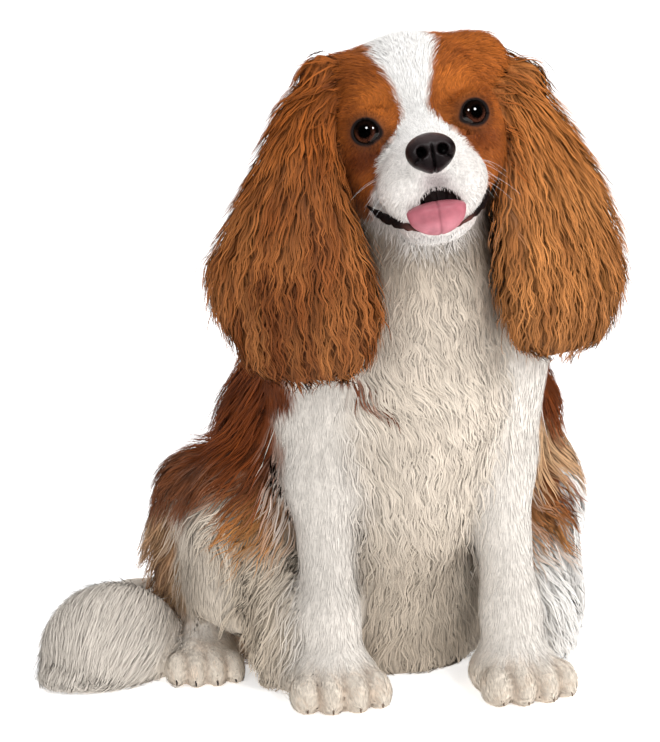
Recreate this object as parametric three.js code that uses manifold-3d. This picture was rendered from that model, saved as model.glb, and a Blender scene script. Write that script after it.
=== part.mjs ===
// A small long-coated spaniel with chestnut and white markings, sitting upright, at life size.
// The frame: +Z up, the dog faces -Y and its left is +X. The origin lies on the floor, under the seat.
import * as THREE from "three";
import { mergeVertices } from "three/addons/utils/BufferGeometryUtils.js";
import Module from "manifold-3d";

const wasm = await Module();
wasm.setup();

// Driving dimensions, in millimetres and degrees.
const GAP = 0.3; // air between two neighbouring pieces
const HEAD = { at: [-4, -104, 361], yaw: -14, pitch: -8, roll: -10 };
const EYE = { radius: 12.5, side: 30, front: -41, height: 2 };
const LEG_SIDE = 59; // from the midline to a foreleg's axis
const ELBOW_HEIGHT = 140;
const PAW = { width: 35, length: 38, height: 27 };
const HIND_PAW = { width: 28, length: 34, height: 24 };
const LEFT = 1;
const RIGHT = -1;
const PAW_FRONT = { [LEFT]: -134, [RIGHT]: -116 }; // the left forepaw stands a little further forward
const HIND_PAW_AT = { [LEFT]: [104, -42], [RIGHT]: [131, -50] };
const REACH = 12; // how far from its own form a part's skin is followed
const CUT = 5; // how far outside its own form a part is parted from the next
const ARM = { shoulder: 31, aboveElbow: 24, belowElbow: 23, wrist: 17.5, foot: 23 }; // a foreleg's radii
const WRIST_HEIGHT = 50;
const KNEE_SIDE = { [LEFT]: 99, [RIGHT]: 84 };
const CLAW = { radius: 2.6, length: 11, sides: 4, lean: 206 };
const LID = { ring: 0.9, roll: 1.8, forward: 0.56 }; // ring and forward are shares of the eye's radius
const LIP_RADIUS = 2.6;
const LOCK_SINK = 3; // how deep a lock of the coat is rooted
const SEEDS = { neck: 11, chest: 23, tail: 53, thigh: { [LEFT]: 31, [RIGHT]: 37 }, ear: { [LEFT]: 71, [RIGHT]: 79 } };

const COLOURS = {
  chestnut: 0x9a5426,
  ear: 0xa8683a,
  white: 0xe9e3da,
  nose: 0x2b2625,
  eye: 0x1c120d,
  tongue: 0xd98a93,
  lip: 0x2a1d1b,
};

// Vectors

const V = (x, y, z) => new THREE.Vector3(x, y, z);
const degrees = THREE.MathUtils.degToRad;

const headFrame = new THREE.Matrix4()
  .makeRotationFromEuler(
    new THREE.Euler(degrees(HEAD.pitch), degrees(HEAD.roll), degrees(HEAD.yaw), "ZXY"),
  )
  .setPosition(...HEAD.at);
const headInverse = headFrame.clone().invert();
const fromHead = (x, y, z) => V(x, y, z).applyMatrix4(headFrame);

// Shapes as signed distances: negative inside, positive outside.

// An egg with half sizes a, b, c, leaning by lean degrees about X.
function egg([x, y, z], [a, b, c], lean = 0) {
  const cos = Math.cos(degrees(lean));
  const sin = Math.sin(degrees(lean));
  return (p) => {
    const px = p.x - x;
    const dy = p.y - y;
    const dz = p.z - z;
    const py = cos * dy + sin * dz;
    const pz = cos * dz - sin * dy;
    const k0 = Math.hypot(px / a, py / b, pz / c);
    const k1 = Math.hypot(px / (a * a), py / (b * b), pz / (c * c));
    return k1 < 1e-9 ? -Math.min(a, b, c) : (k0 * (k0 - 1)) / k1;
  };
}

// A round limb from one ball to another.
function limb(from, r1, to, r2) {
  const a = V(...from);
  const ba = V(...to).sub(a);
  const length2 = ba.lengthSq();
  const rr = r1 - r2;
  const a2 = length2 - rr * rr;
  const il2 = 1 / length2;
  return (p) => {
    const pa = p.clone().sub(a);
    const y = pa.dot(ba);
    const z = y - length2;
    const x2 = pa.multiplyScalar(length2).addScaledVector(ba, -y).lengthSq();
    const y2 = y * y * length2;
    const z2 = z * z * length2;
    const k = Math.sign(rr) * rr * rr * x2;
    if (Math.sign(z) * a2 * z2 > k) return Math.sqrt(x2 + z2) * il2 - r2;
    if (Math.sign(y) * a2 * y2 < k) return Math.sqrt(x2 + y2) * il2 - r1;
    return (Math.sqrt(x2 * a2 * il2) + y * rr) * il2 - r1;
  };
}

const smoothMin = (a, b, k) => {
  const h = Math.max(k - Math.abs(a - b), 0) / k;
  return Math.min(a, b) - (h * h * k) / 4;
};

const blend = (k, ...shapes) => (p) =>
  shapes.reduce((d, shape) => smoothMin(d, shape(p), k), 1e6);

const inHead = (shape) => (p) => shape(p.clone().applyMatrix4(headInverse));

// The body's forms, out to the coat's surface where the coat lies flat.

const skullShape = blend(
  14,
  egg([0, 12, 15], [52, 56, 48]),
  egg([0, -18, 24], [42, 30, 32]),
  egg([42, 8, 36], [24, 28, 20]),
  egg([-42, 8, 36], [24, 28, 20]),
  egg([27, -20, -14], [26, 30, 32]),
  egg([-27, -20, -14], [26, 30, 32]),
  egg([EYE.side, -32, 3], [19, 15, 17]),
  egg([-EYE.side, -32, 3], [19, 15, 17]),
);
const muzzleShape = blend(
  8,
  egg([0, -58, -22], [23, 30, 17]),
  egg([16, -58, -34], [18, 25, 19]),
  egg([-16, -58, -34], [18, 25, 19]),
  egg([0, -36, -14], [28, 28, 22]),
);
const headShape = inHead(blend(10, skullShape, muzzleShape));
const jawShape = inHead(
  blend(8, egg([0, -50, -56], [24, 28, 15]), egg([0, -20, -44], [34, 34, 22])),
);
const neckShape = blend(
  26,
  limb([0, -68, 250], 66, [-3, -96, 334], 50),
  egg([0, -112, 262], [50, 44, 62]),
);
const torsoShape = blend(
  30,
  egg([0, 28, 76], [110, 88, 86]),
  limb([0, 34, 116], 99, [8, -22, 172], 99),
  egg([8, -26, 160], [121, 84, 72]),
  limb([0, -40, 205], 84, [0, -58, 272], 58),
  egg([0, -46, 44], [88, 50, 70]),
);
// The chest and the hanging coat of the belly, down to the floor between the forelegs.
const chestShape = blend(
  26,
  egg([0, -98, 206], [64, 56, 78]),
  egg([0, -88, 124], [50, 46, 60]),
  egg([0, -70, 46], [60, 40, 70]),
);
const forelegShape = (side) => {
  const wrist = [side * LEG_SIDE, PAW_FRONT[side] + 12, WRIST_HEIGHT];
  return blend(
    18,
    egg([side * 60, -84, 226], [34, 44, 62]),
    limb([side * LEG_SIDE, -88, 215], ARM.shoulder, [side * LEG_SIDE, -92, ELBOW_HEIGHT], ARM.aboveElbow),
    limb([side * LEG_SIDE, -92, ELBOW_HEIGHT], ARM.belowElbow, wrist, ARM.wrist),
    limb(wrist, ARM.wrist, [side * LEG_SIDE, PAW_FRONT[side] + 4, 18], ARM.foot),
  );
};
const TOE_SIDES = [-0.66, -0.24, 0.24, 0.66];

// A paw: a low dome with four toes along its front edge.
function pawShape(x, y, { width, length, height }, turn) {
  const c = Math.cos(degrees(turn));
  const s = Math.sin(degrees(turn));
  const onPaw = (u, v) => [x + c * u + s * v, y + c * v - s * u];
  const toes = TOE_SIDES.map((t) => {
    const [tx, ty] = onPaw(t * width, -length * (0.72 - 0.28 * Math.abs(t)));
    return egg([tx, ty, height * 0.34], [width * 0.3, length * 0.4, height * 0.52]);
  });
  return blend(5, egg([x, y, height * 0.36], [width * 0.94, length * 0.9, height * 0.72]), ...toes);
}
// Claws: small blunt cones at the front of each toe.
function claws(x, y, { width, length, height }, turn) {
  return TOE_SIDES.map((t) => {
    const c = Math.cos(degrees(turn));
    const s = Math.sin(degrees(turn));
    const u = t * width;
    const v = -length * (1.08 - 0.28 * Math.abs(t));
    const at = V(x + c * u + s * v, y + c * v - s * u, height * 0.24);
    const claw = new THREE.ConeGeometry(CLAW.radius, CLAW.length, CLAW.sides);
    const lean = new THREE.Quaternion().setFromEuler(new THREE.Euler(degrees(CLAW.lean), 0, 0));
    return geometrySolid(claw, new THREE.Matrix4().compose(at, lean, V(1, 1, 1)));
  });
}
const forepawShape = (side) => pawShape(side * LEG_SIDE, PAW_FRONT[side], PAW, -4 * side);
const thighShape = (side) =>
  blend(
    22,
    egg([side * 100, 22, 82], [52, 62, 46]),
    egg([side * 110, 16, 112], [36, 48, 26]),
    egg([side * 97, 10, 46], [58, 66, 50]),
    egg([side * 100, -46, 102], [42, 42, 56]),
    egg([side * 96, -54, 46], [44, 44, 50]),
    egg([side * KNEE_SIDE[side], -82, 28], [30, 32, 40]),
  );
const hindpawShape = (side) => {
  const [x, y] = HIND_PAW_AT[side];
  return blend(
    8,
    limb([side * (x - 14), y + 62, 16], 18, [side * (x - 4), y + 14, 14], 18),
    pawShape(side * x, y, HIND_PAW, -8 * side),
  );
};
const TAIL_ROUTE = [
  [-25, 84, 34],
  [-95, 92, 20],
  [-160, 52, 18],
  [-186, 0, 21],
  [-200, -34, 18],
];
const tailShape = blend(
  16,
  limb(TAIL_ROUTE[0], 21, TAIL_ROUTE[1], 20),
  limb(TAIL_ROUTE[1], 20, TAIL_ROUTE[2], 21),
  limb(TAIL_ROUTE[2], 21, TAIL_ROUTE[3], 28),
  egg([-188, -30, 12], [55, 45, 54]),
  egg([-212, -50, 5], [34, 27, 13]),
);

const fleshShape = blend(
  14,
  headShape,
  jawShape,
  neckShape,
  torsoShape,
  chestShape,
  forelegShape(LEFT),
  forelegShape(RIGHT),
  forepawShape(LEFT),
  forepawShape(RIGHT),
  thighShape(LEFT),
  thighShape(RIGHT),
  hindpawShape(LEFT),
  hindpawShape(RIGHT),
);

// From shapes to closed meshes

function solidFrom(positions, triangles) {
  const mesh = new wasm.Mesh({
    numProp: 3,
    vertProperties: new Float32Array(positions.flatMap((p) => [p.x, p.y, p.z])),
    triVerts: new Uint32Array(triangles.flat()),
  });
  return new wasm.Manifold(mesh);
}

// The point where a ray from inside leaves the shape.
function surfacePoint(shape, from, direction) {
  const p = from.clone();
  for (let step = 0; step < 80; step += 1) {
    const d = shape(p);
    if (d > -0.01) break;
    p.addScaledVector(direction, Math.max(-d * 0.9, 0.01));
  }
  return p;
}

// Rings of rays round a curved spine, with a fan at each end, meet the shape in one closed skin.
function skinAlong(shape, route, { rings = 8, sides = 20, fan = 5, up = V(0, 0, 1) }) {
  const curve = new THREE.CatmullRomCurve3(route.map((p) => (p.isVector3 ? p : V(...p))));
  const points = [];
  const triangles = [];
  const frames = [];
  for (let i = 0; i <= rings; i += 1) {
    const tangent = curve.getTangent(i / rings);
    const u = up.clone().addScaledVector(tangent, -up.dot(tangent)).normalize();
    frames.push({ at: curve.getPoint(i / rings), tangent, u, w: tangent.clone().cross(u) });
  }
  const rows = [];
  for (let i = 1; i <= fan; i += 1) rows.push([frames[0], -90 + (90 * i) / (fan + 0.5)]);
  frames.forEach((frame) => rows.push([frame, 0]));
  for (let i = fan; i >= 1; i -= 1) rows.push([frames[rings], 90 - (90 * i) / (fan + 0.5)]);
  const pole = (frame, sign) =>
    points.push(surfacePoint(shape, frame.at, frame.tangent.clone().multiplyScalar(sign))) - 1;
  const first = pole(frames[0], -1);
  rows.forEach(([frame, angle]) => {
    for (let j = 0; j < sides; j += 1) {
      const turn = (2 * Math.PI * j) / sides;
      const direction = frame.u
        .clone()
        .multiplyScalar(Math.cos(turn))
        .addScaledVector(frame.w, Math.sin(turn))
        .multiplyScalar(Math.cos(degrees(angle)))
        .addScaledVector(frame.tangent, Math.sin(degrees(angle)));
      points.push(surfacePoint(shape, frame.at, direction));
    }
  });
  const last = pole(frames[rings], 1);
  const at = (row, j) => 1 + row * sides + (j % sides);
  for (let j = 0; j < sides; j += 1) {
    triangles.push([first, at(0, j + 1), at(0, j)]);
    for (let row = 0; row + 1 < rows.length; row += 1) {
      triangles.push([at(row, j), at(row, j + 1), at(row + 1, j + 1)]);
      triangles.push([at(row, j), at(row + 1, j + 1), at(row + 1, j)]);
    }
    triangles.push([last, at(rows.length - 1, j), at(rows.length - 1, j + 1)]);
  }
  return solidFrom(points, triangles);
}

// Seeded variation, so that every build gives the same coat.
function variation(seed) {
  let state = seed;
  return (low = -1, high = 1) => {
    state = (Math.imul(state, 1664525) + 1013904223) >>> 0;
    return low + ((high - low) * state) / 4294967296;
  };
}

// The way straight out of a shape at a point.
function outward(shape, p) {
  const d = shape(p);
  return V(
    shape(p.clone().add(V(0.5, 0, 0))) - d,
    shape(p.clone().add(V(0, 0.5, 0))) - d,
    shape(p.clone().add(V(0, 0, 0.5))) - d,
  ).normalize();
}

// The widths along a lock, as shares of its widest place.
const LONG_LOCK = [0.7, 1, 0.96, 0.66];
const SHORT_LOCK = [0.75, 1, 0.75];

// A flat tapered lock of the coat. It starts sunk in the form, bends along the form's lie and hangs
// free where the form falls away, and its tip lifts off. Where cling is low it hangs straight.
function lock(shape, root, lie, { widths, length, width, thick, sink, lift, sway, cling = 0.5 }) {
  const stations = widths.length;
  const step = length / stations;
  const points = [];
  const p = root.clone();
  const normals = [];
  const way = lie.clone().normalize();
  for (let i = 0; i <= stations; i += 1) {
    const out = outward(shape, p);
    const want = i === 0 ? -sink : -thick * 0.25 + (lift * i * i) / (stations * stations);
    const d = shape(p);
    const hold = d < want || i < 2 ? 1 : cling;
    p.addScaledVector(out, (want - d) * hold);
    points.push(p.clone());
    normals.push(out);
    const along = way.clone().addScaledVector(out, -way.dot(out) * (d > want + 1 ? 0.2 : 1));
    const side = along.clone().cross(out).normalize();
    along.normalize().addScaledVector(side, sway * (i % 2 === 0 ? 1 : -1));
    p.addScaledVector(along.normalize(), step);
  }
  const corners = [];
  const triangles = [];
  for (let i = 0; i < stations; i += 1) {
    const tangent = points[i + 1].clone().sub(points[Math.max(i - 1, 0)]).normalize();
    const across = tangent.clone().cross(normals[i]).normalize();
    const over = across.clone().cross(tangent);
    const w = (width * widths[i]) / 2;
    const t = (thick * (1 - (0.5 * i) / stations)) / 2;
    corners.push(points[i].clone().addScaledVector(across, w));
    corners.push(points[i].clone().addScaledVector(over, t));
    corners.push(points[i].clone().addScaledVector(across, -w));
    corners.push(points[i].clone().addScaledVector(over, -t));
  }
  corners.push(points[stations]);
  const tip = corners.length - 1;
  for (let j = 0; j < 4; j += 1) {
    const k = (j + 1) % 4;
    for (let i = 0; i + 1 < stations; i += 1) {
      triangles.push([i * 4 + j, i * 4 + 4 + j, i * 4 + 4 + k]);
      triangles.push([i * 4 + j, i * 4 + 4 + k, i * 4 + k]);
    }
    triangles.push([(stations - 1) * 4 + j, tip, (stations - 1) * 4 + k]);
  }
  triangles.push([0, 1, 2], [0, 2, 3]);
  return solidFrom(corners, triangles);
}

// A part of the flesh: its skin is the whole body's, set in by the depth of its long coat, and it is
// parted from the rest just outside its own form.
function fleshPart(own, route, detail, cutDetail, { depth = () => 0, locks = [] } = {}) {
  const form = (p) => Math.max(fleshShape(p) + depth(p), own(p) - REACH);
  const skin = skinAlong(form, route, detail);
  const cutter = (grow) => skinAlong((p) => own(p) - CUT - grow, route, { ...detail, ...cutDetail });
  const whole = locks.length > 0 ? wasm.Manifold.union([skin, ...locks]) : skin;
  return {
    solid: whole.intersect(cutter(0)),
    room: cutter(GAP),
    shell: skinAlong((p) => form(p) - GAP, route, detail),
  };
}

// A part with a form of its own.
const freePart = (own, route, detail) => ({
  solid: skinAlong(own, route, detail),
  room: skinAlong((p) => own(p) - GAP, route, detail),
});

const geometrySolid = (geometry, matrix) => {
  const bare = geometry.clone().applyMatrix4(matrix);
  bare.deleteAttribute("normal");
  bare.deleteAttribute("uv");
  const merged = mergeVertices(bare, 1e-3);
  return new wasm.Manifold(
    new wasm.Mesh({
      numProp: 3,
      vertProperties: merged.attributes.position.array,
      triVerts: new Uint32Array(merged.index.array),
    }),
  );
};

// A round roll along a route, with a blunt point at each end.
function capped(route, radius, segments = 10, sides = 6) {
  const tube = new THREE.TubeGeometry(new THREE.CatmullRomCurve3(route), segments, radius, sides, false);
  const position = tube.attributes.position;
  [0, segments].forEach((end) => {
    const middle = route[end === 0 ? 0 : route.length - 1];
    for (let j = 0; j <= sides; j += 1)
      position.setXYZ(end * (sides + 1) + j, middle.x, middle.y, middle.z);
  });
  return tube;
}

const move = (...at) => new THREE.Matrix4().makeTranslation(...at);
const FLOOR_BLOCK = 1200;
const belowFloor = geometrySolid(
  new THREE.BoxGeometry(FLOOR_BLOCK, FLOOR_BLOCK, FLOOR_BLOCK),
  move(0, 0, -FLOOR_BLOCK / 2),
);

// The parts: each has its solid, and the room that its neighbours leave it.

const headSpine = [fromHead(0, 16, 10), fromHead(0, -20, 0), fromHead(0, -58, -24)];
const headPart = fleshPart(
  headShape,
  headSpine,
  { rings: 6, sides: 20, fan: 3 },
  { rings: 3, sides: 10, fan: 2 },
);
const jawPart = fleshPart(
  jawShape,
  [fromHead(0, -14, -46), fromHead(0, -54, -57)],
  { rings: 3, sides: 12, fan: 3 },
  { rings: 2, sides: 8, fan: 2 },
);

const eyeAt = (side) => fromHead(side * EYE.side, EYE.front, EYE.height);
const eyeBall = (side, grow) =>
  geometrySolid(new THREE.SphereGeometry(EYE.radius + grow, 11, 8), move(...eyeAt(side).toArray()));
const eyePart = (side) => ({ solid: eyeBall(side, 0), room: eyeBall(side, GAP) });

// The lids are a thick ring round the front of the eye.
function lids(side) {
  const ring = new THREE.TorusGeometry(EYE.radius * LID.ring, LID.roll, 4, 12);
  const look = V(side * 0.34, -0.94, 0).applyMatrix4(new THREE.Matrix4().extractRotation(headFrame));
  const turn = new THREE.Quaternion().setFromUnitVectors(V(0, 0, 1), look);
  const at = eyeAt(side).addScaledVector(look, EYE.radius * LID.forward);
  return geometrySolid(ring, new THREE.Matrix4().compose(at, turn, V(1, 1, 1)));
}

const noseShape = inHead(
  blend(
    4,
    egg([0, -86, -18], [13, 9, 9.5]),
    egg([8, -86, -20], [6.5, 8, 6.5]),
    egg([-8, -86, -20], [6.5, 8, 6.5]),
  ),
);
const nosePart = freePart(noseShape, [fromHead(0, -80, -18), fromHead(0, -88, -18)], {
  rings: 2,
  sides: 14,
  fan: 3,
});

// The open mouth, a low hollow above the tongue.
const mouthShape = inHead(egg([-1, -66, -46], [16, 24, 6.5]));
const mouthHollow = skinAlong(mouthShape, [fromHead(-1, -56, -46), fromHead(-1, -74, -46)], {
  rings: 2,
  sides: 10,
  fan: 2,
});

const tongueShape = inHead(
  blend(6, egg([-1, -54, -46], [14, 24, 4.5], 10), egg([-1, -79, -56], [16.5, 12, 5.5], 50)),
);
const tongueRoute = [fromHead(-1, -42, -44), fromHead(-1, -66, -48), fromHead(-1, -80, -57)];
const tonguePart = freePart(tongueShape, tongueRoute, { rings: 4, sides: 10, fan: 2 });

// The dark lower lip, a soft roll from corner to corner of the mouth.
const LIP_ROUTE = [
  [-34, -38, -46],
  [-28, -53, -54],
  [-17, -68, -62],
  [0, -76, -66],
  [17, -68, -62],
  [28, -53, -54],
  [34, -38, -46],
];
const lipRun = (grow) =>
  geometrySolid(
    capped(LIP_ROUTE.map((at) => fromHead(...at)), LIP_RADIUS + grow),
    new THREE.Matrix4(),
  );
const lipPart = { solid: lipRun(0), room: lipRun(GAP) };

// Rows of locks down the front, each row staggered over the one below it.
const FRILL_DEPTH = 5;
function frill(rows, seed) {
  const vary = variation(seed);
  return rows.flatMap(({ z, from, spread, count, length }, row) =>
    Array.from({ length: count }, (_, i) => {
      const turn = ((i + 0.5 + (row % 2 === 0 ? 0 : 0.4)) / count - 0.5) * spread + vary(-4, 4);
      const direction = V(Math.sin(degrees(turn)), -Math.cos(degrees(turn)), 0);
      const root = surfacePoint((p) => fleshShape(p) + FRILL_DEPTH, V(0, from, z + vary(-6, 6)), direction);
      const lie = V(vary(-0.25, 0.25) + direction.x * 0.15, 0, -1);
      return lock((p) => fleshShape(p) + FRILL_DEPTH, root, lie, {
        widths: SHORT_LOCK,
        length: length * vary(0.85, 1.15),
        width: 22 * vary(0.85, 1.15),
        thick: 6,
        sink: LOCK_SINK,
        lift: 6,
        sway: vary(0.05, 0.2),
      });
    }),
  );
}
const NECK_ROWS = [
  { z: 300, from: -80, spread: 100, count: 3, length: 50 },
  { z: 272, from: -80, spread: 110, count: 3, length: 44 },
];
const neckPart = fleshPart(
  neckShape,
  [V(0, -78, 236), V(-2, -94, 336)],
  { rings: 3, sides: 14, fan: 2, up: V(0, -1, 0) },
  { rings: 2, sides: 8 },
  { depth: (p) => (p.y < -90 ? FRILL_DEPTH : 0), locks: frill(NECK_ROWS, SEEDS.neck) },
);

const TORSO_SPINE = [
  [0, 28, 78],
  [0, 8, 130],
  [0, -36, 180],
  [0, -62, 232],
];
const torsoPart = fleshPart(
  torsoShape,
  TORSO_SPINE,
  { rings: 5, sides: 15, fan: 3, up: V(0, -1, 0.2) },
  { rings: 3, sides: 10, fan: 2 },
);
const CHEST_ROWS = [
  { z: 252, from: -80, spread: 80, count: 3, length: 60 },
  { z: 212, from: -80, spread: 85, count: 3, length: 62 },
  { z: 170, from: -80, spread: 80, count: 3, length: 62 },
  { z: 124, from: -70, spread: 70, count: 3, length: 62 },
  { z: 80, from: -60, spread: 80, count: 3, length: 62 },
  { z: 42, from: -60, spread: 80, count: 2, length: 46 },
];
const chestPart = fleshPart(
  chestShape,
  [
    [0, -72, 40],
    [0, -90, 120],
    [0, -98, 220],
  ],
  { rings: 5, sides: 11, fan: 2, up: V(0, -1, 0) },
  { rings: 3, sides: 8, fan: 2 },
  { depth: () => FRILL_DEPTH, locks: frill(CHEST_ROWS, SEEDS.chest) },
);

const forelegPart = (side) =>
  fleshPart(
    forelegShape(side),
    [
      [side * 60, -86, 226],
      [side * LEG_SIDE, -90, 150],
      [side * LEG_SIDE, PAW_FRONT[side] + 12, 55],
      [side * LEG_SIDE, PAW_FRONT[side] + 6, 20],
    ],
    { rings: 8, sides: 10, fan: 2, up: V(0, -1, 0) },
    { rings: 4, sides: 7, fan: 1 },
  );
const forepawPart = (side) =>
  fleshPart(
    forepawShape(side),
    [
      [side * LEG_SIDE, PAW_FRONT[side] + 12, 9],
      [side * LEG_SIDE, PAW_FRONT[side] - 16, 7],
    ],
    { rings: 3, sides: 17, fan: 3 },
    { rings: 2, sides: 8, fan: 2 },
    { locks: claws(side * LEG_SIDE, PAW_FRONT[side], PAW, -4 * side) },
  );
// The knee and the front of the thigh carry long feathering that falls to the floor.
const featherDepth = (p) => 6 * THREE.MathUtils.smoothstep(-p.y, 10, 40);
const FEATHER_ROWS = [
  { z: 116, count: 2, length: 60 },
  { z: 76, count: 3, length: 60 },
  { z: 38, count: 2, length: 46 },
];
function feathering(side, seed) {
  const vary = variation(seed);
  const form = (p) => Math.max(fleshShape(p) + featherDepth(p), thighShape(side)(p) - REACH);
  return FEATHER_ROWS.flatMap(({ z, count, length }, row) =>
    Array.from({ length: count }, (_, i) => {
      const turn = -12 + ((i + 0.5 + (row % 2) * 0.4) / count) * 100 + vary(-5, 5);
      const direction = V(side * Math.sin(degrees(turn)), -Math.cos(degrees(turn)), 0);
      const root = surfacePoint(form, V(side * 94, -44, z + vary(-5, 5)), direction);
      return lock(form, root, V(vary(-0.1, 0.2) * side, vary(-0.1, 0.25), -1), {
        widths: SHORT_LOCK,
        length: length * vary(0.85, 1.15),
        width: 23 * vary(0.85, 1.15),
        thick: 6,
        sink: LOCK_SINK,
        lift: 6,
        sway: vary(0.05, 0.2),
      });
    }),
  );
}
const thighPart = (side) =>
  fleshPart(
    thighShape(side),
    [
      [side * 90, 14, 66],
      [side * 94, -46, 70],
    ],
    { rings: 3, sides: 13, fan: 3 },
    { rings: 2, sides: 8, fan: 2 },
    { depth: featherDepth, locks: feathering(side, SEEDS.thigh[side]) },
  );
const hindpawPart = (side) => {
  const [x, y] = HIND_PAW_AT[side];
  return fleshPart(
    hindpawShape(side),
    [
      [side * (x - 13), y + 58, 13],
      [side * (x - 4), y + 12, 11],
      [side * (x + 1), y - 10, 8],
    ],
    { rings: 4, sides: 13, fan: 3 },
    { rings: 2, sides: 8, fan: 2 },
    { locks: claws(side * x, y, HIND_PAW, -8 * side) },
  );
};
// The tail's plume: a core, and locks that stream along it and spread over the floor at its end.
const TAIL_DEPTH = 8;
const tailCurve = new THREE.CatmullRomCurve3(TAIL_ROUTE.map((p) => V(...p)));
const tailCore = (p) => tailShape(p) + TAIL_DEPTH;
const TAIL_RINGS = [0.34, 0.52, 0.7, 0.88];
function plume(seed) {
  const vary = variation(seed);
  return TAIL_RINGS.flatMap((at, ring) => {
    const middle = tailCurve.getPoint(at);
    const along = tailCurve.getTangent(at);
    const level = V(along.x, along.y, 0).normalize();
    const across = V(-level.y, level.x, 0);
    const count = ring < 2 ? 3 : 4;
    return Array.from({ length: count }, (_, i) => {
      const turn = -100 + (200 * (i + 0.5 + (ring % 2) * 0.3)) / count + vary(-7, 7);
      const direction = V(0, 0, 1)
        .multiplyScalar(Math.cos(degrees(turn)))
        .addScaledVector(across, Math.sin(degrees(turn)));
      const root = surfacePoint(tailCore, middle, direction);
      const lie = level.clone().addScaledVector(direction, 0.3).add(V(-0.25, 0, -0.3));
      return lock(tailCore, root, lie, {
        widths: SHORT_LOCK,
        length: 60 * vary(0.9, 1.1),
        width: 25 * vary(0.85, 1.15),
        thick: 7,
        sink: LOCK_SINK,
        lift: 7,
        sway: vary(0.05, 0.18),
      });
    });
  });
}
const tailPart = {
  solid: wasm.Manifold.union([
    skinAlong(tailCore, TAIL_ROUTE, { rings: 6, sides: 10, fan: 3 }),
    ...plume(SEEDS.tail),
  ]),
  room: skinAlong((p) => tailShape(p) - GAP, TAIL_ROUTE, { rings: 3, sides: 8, fan: 2 }),
};

// Ears: a bell of long hair hangs from high on each side of the skull, wider than it is deep.
// Each station gives the middle of the bell, its half width and its half depth.
const EAR_TURN = 30; // the front edge of each bell turns in towards the chest
const EAR_STATIONS = {
  [RIGHT]: [
    [[-62, -96, 388], 18, 14],
    [[-73, -104, 375], 21, 17],
    [[-84, -119, 347], 27, 20],
    [[-92, -127, 316], 38, 24],
    [[-96, -131, 282], 54, 27],
    [[-92, -134, 256], 55, 27],
    [[-88, -138, 233], 43, 22],
  ],
  [LEFT]: [
    [[44, -96, 400], 14, 14],
    [[59, -102, 388], 24, 17],
    [[71, -113, 360], 37, 20],
    [[82, -122, 323], 50, 24],
    [[88, -127, 288], 57, 27],
    [[89, -131, 259], 57, 27],
    [[87, -135, 241], 48, 22],
  ],
};

// The bell's own form, with its lower part drawn in where only the hair's core is wanted.
function bell(side, last, taper) {
  const stations = EAR_STATIONS[side].slice(0, last);
  const across = V(Math.cos(degrees(EAR_TURN)), side * Math.sin(degrees(EAR_TURN)), 0);
  const balls = stations.map(([at, width, depth], i) => {
    const scale = 1 - (taper * i) / 5;
    return {
      at: V(...at),
      ball: egg([0, 0, 0], [width * scale, depth * scale, Math.min(width, 30) * scale]),
    };
  });
  return (p) =>
    balls.reduce((best, { at, ball }) => {
      const d = p.clone().sub(at);
      const local = V(d.dot(across), d.x * -across.y + d.y * across.x, d.z);
      return smoothMin(best, ball(local), 12);
    }, 1e6);
}
const bellSpine = (side, last) =>
  new THREE.CatmullRomCurve3(EAR_STATIONS[side].slice(0, last).map(([at]) => V(...at)));

const EAR_CORE_TAPER = 0.17;
const EAR_ROWS = [
  { at: 0.16, count: 4, length: 62, widths: SHORT_LOCK, cling: 0.8 },
  { at: 0.36, count: 4, length: 68, widths: SHORT_LOCK, cling: 0.8 },
  { at: 0.56, count: 6, length: 66, widths: LONG_LOCK, cling: 0.6 },
  { at: 0.76, count: 7, length: 60, widths: LONG_LOCK, cling: 0.15 },
];
function earLocks(side, seed) {
  const vary = variation(seed);
  const form = bell(side, 6, EAR_CORE_TAPER);
  const spine = bellSpine(side, 7);
  return EAR_ROWS.flatMap(({ at, count, length, widths, cling }, row) =>
    Array.from({ length: count }, (_, i) => {
      // The locks grow on the outer face and the edges, from the inner edge round to the back.
      const turn = -105 + (265 * (i + 0.5 + (row % 2) * 0.4)) / count + vary(-5, 5);
      const direction = V(side * Math.sin(degrees(turn)), -Math.cos(degrees(turn)), 0);
      const root = surfacePoint(form, spine.getPoint(at), direction);
      const lie = spine.getTangent(at).addScaledVector(direction, 0.12);
      return lock(form, root, lie.add(V(vary(-0.1, 0.1), vary(-0.1, 0.1), -0.2)), {
        widths,
        cling,
        length: length * vary(0.88, 1.12),
        width: (17 + 11 * at) * vary(0.85, 1.15),
        thick: 7,
        sink: 4,
        lift: 7,
        sway: vary(0.06, 0.22),
      });
    }),
  );
}

// The cup of the ear: the inner face of the flap is hollow.
const earCup = (side) => {
  const [at, width, depth] = EAR_STATIONS[side][3];
  const middle = V(at[0] - side * depth * 0.7, at[1] + depth * 0.75, at[2] - 12);
  return geometrySolid(
    new THREE.SphereGeometry(1, 10, 8),
    new THREE.Matrix4().compose(middle, new THREE.Quaternion(), V(width * 0.62, depth * 0.6, 44)),
  );
};

const earPart = (side) => ({
  solid: wasm.Manifold.union([
    skinAlong(bell(side, 6, EAR_CORE_TAPER), bellSpine(side, 6).getSpacedPoints(6), {
      rings: 5,
      sides: 11,
      fan: 2,
      up: V(0, -1, 0),
    }).subtract(earCup(side)),
    ...earLocks(side, SEEDS.ear[side]),
  ]),
  room: skinAlong((p) => bell(side, 7, 0)(p) - GAP, bellSpine(side, 7).getSpacedPoints(6), {
    rings: 4,
    sides: 8,
    fan: 2,
    up: V(0, -1, 0),
  }),
});

// Assembly

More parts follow.
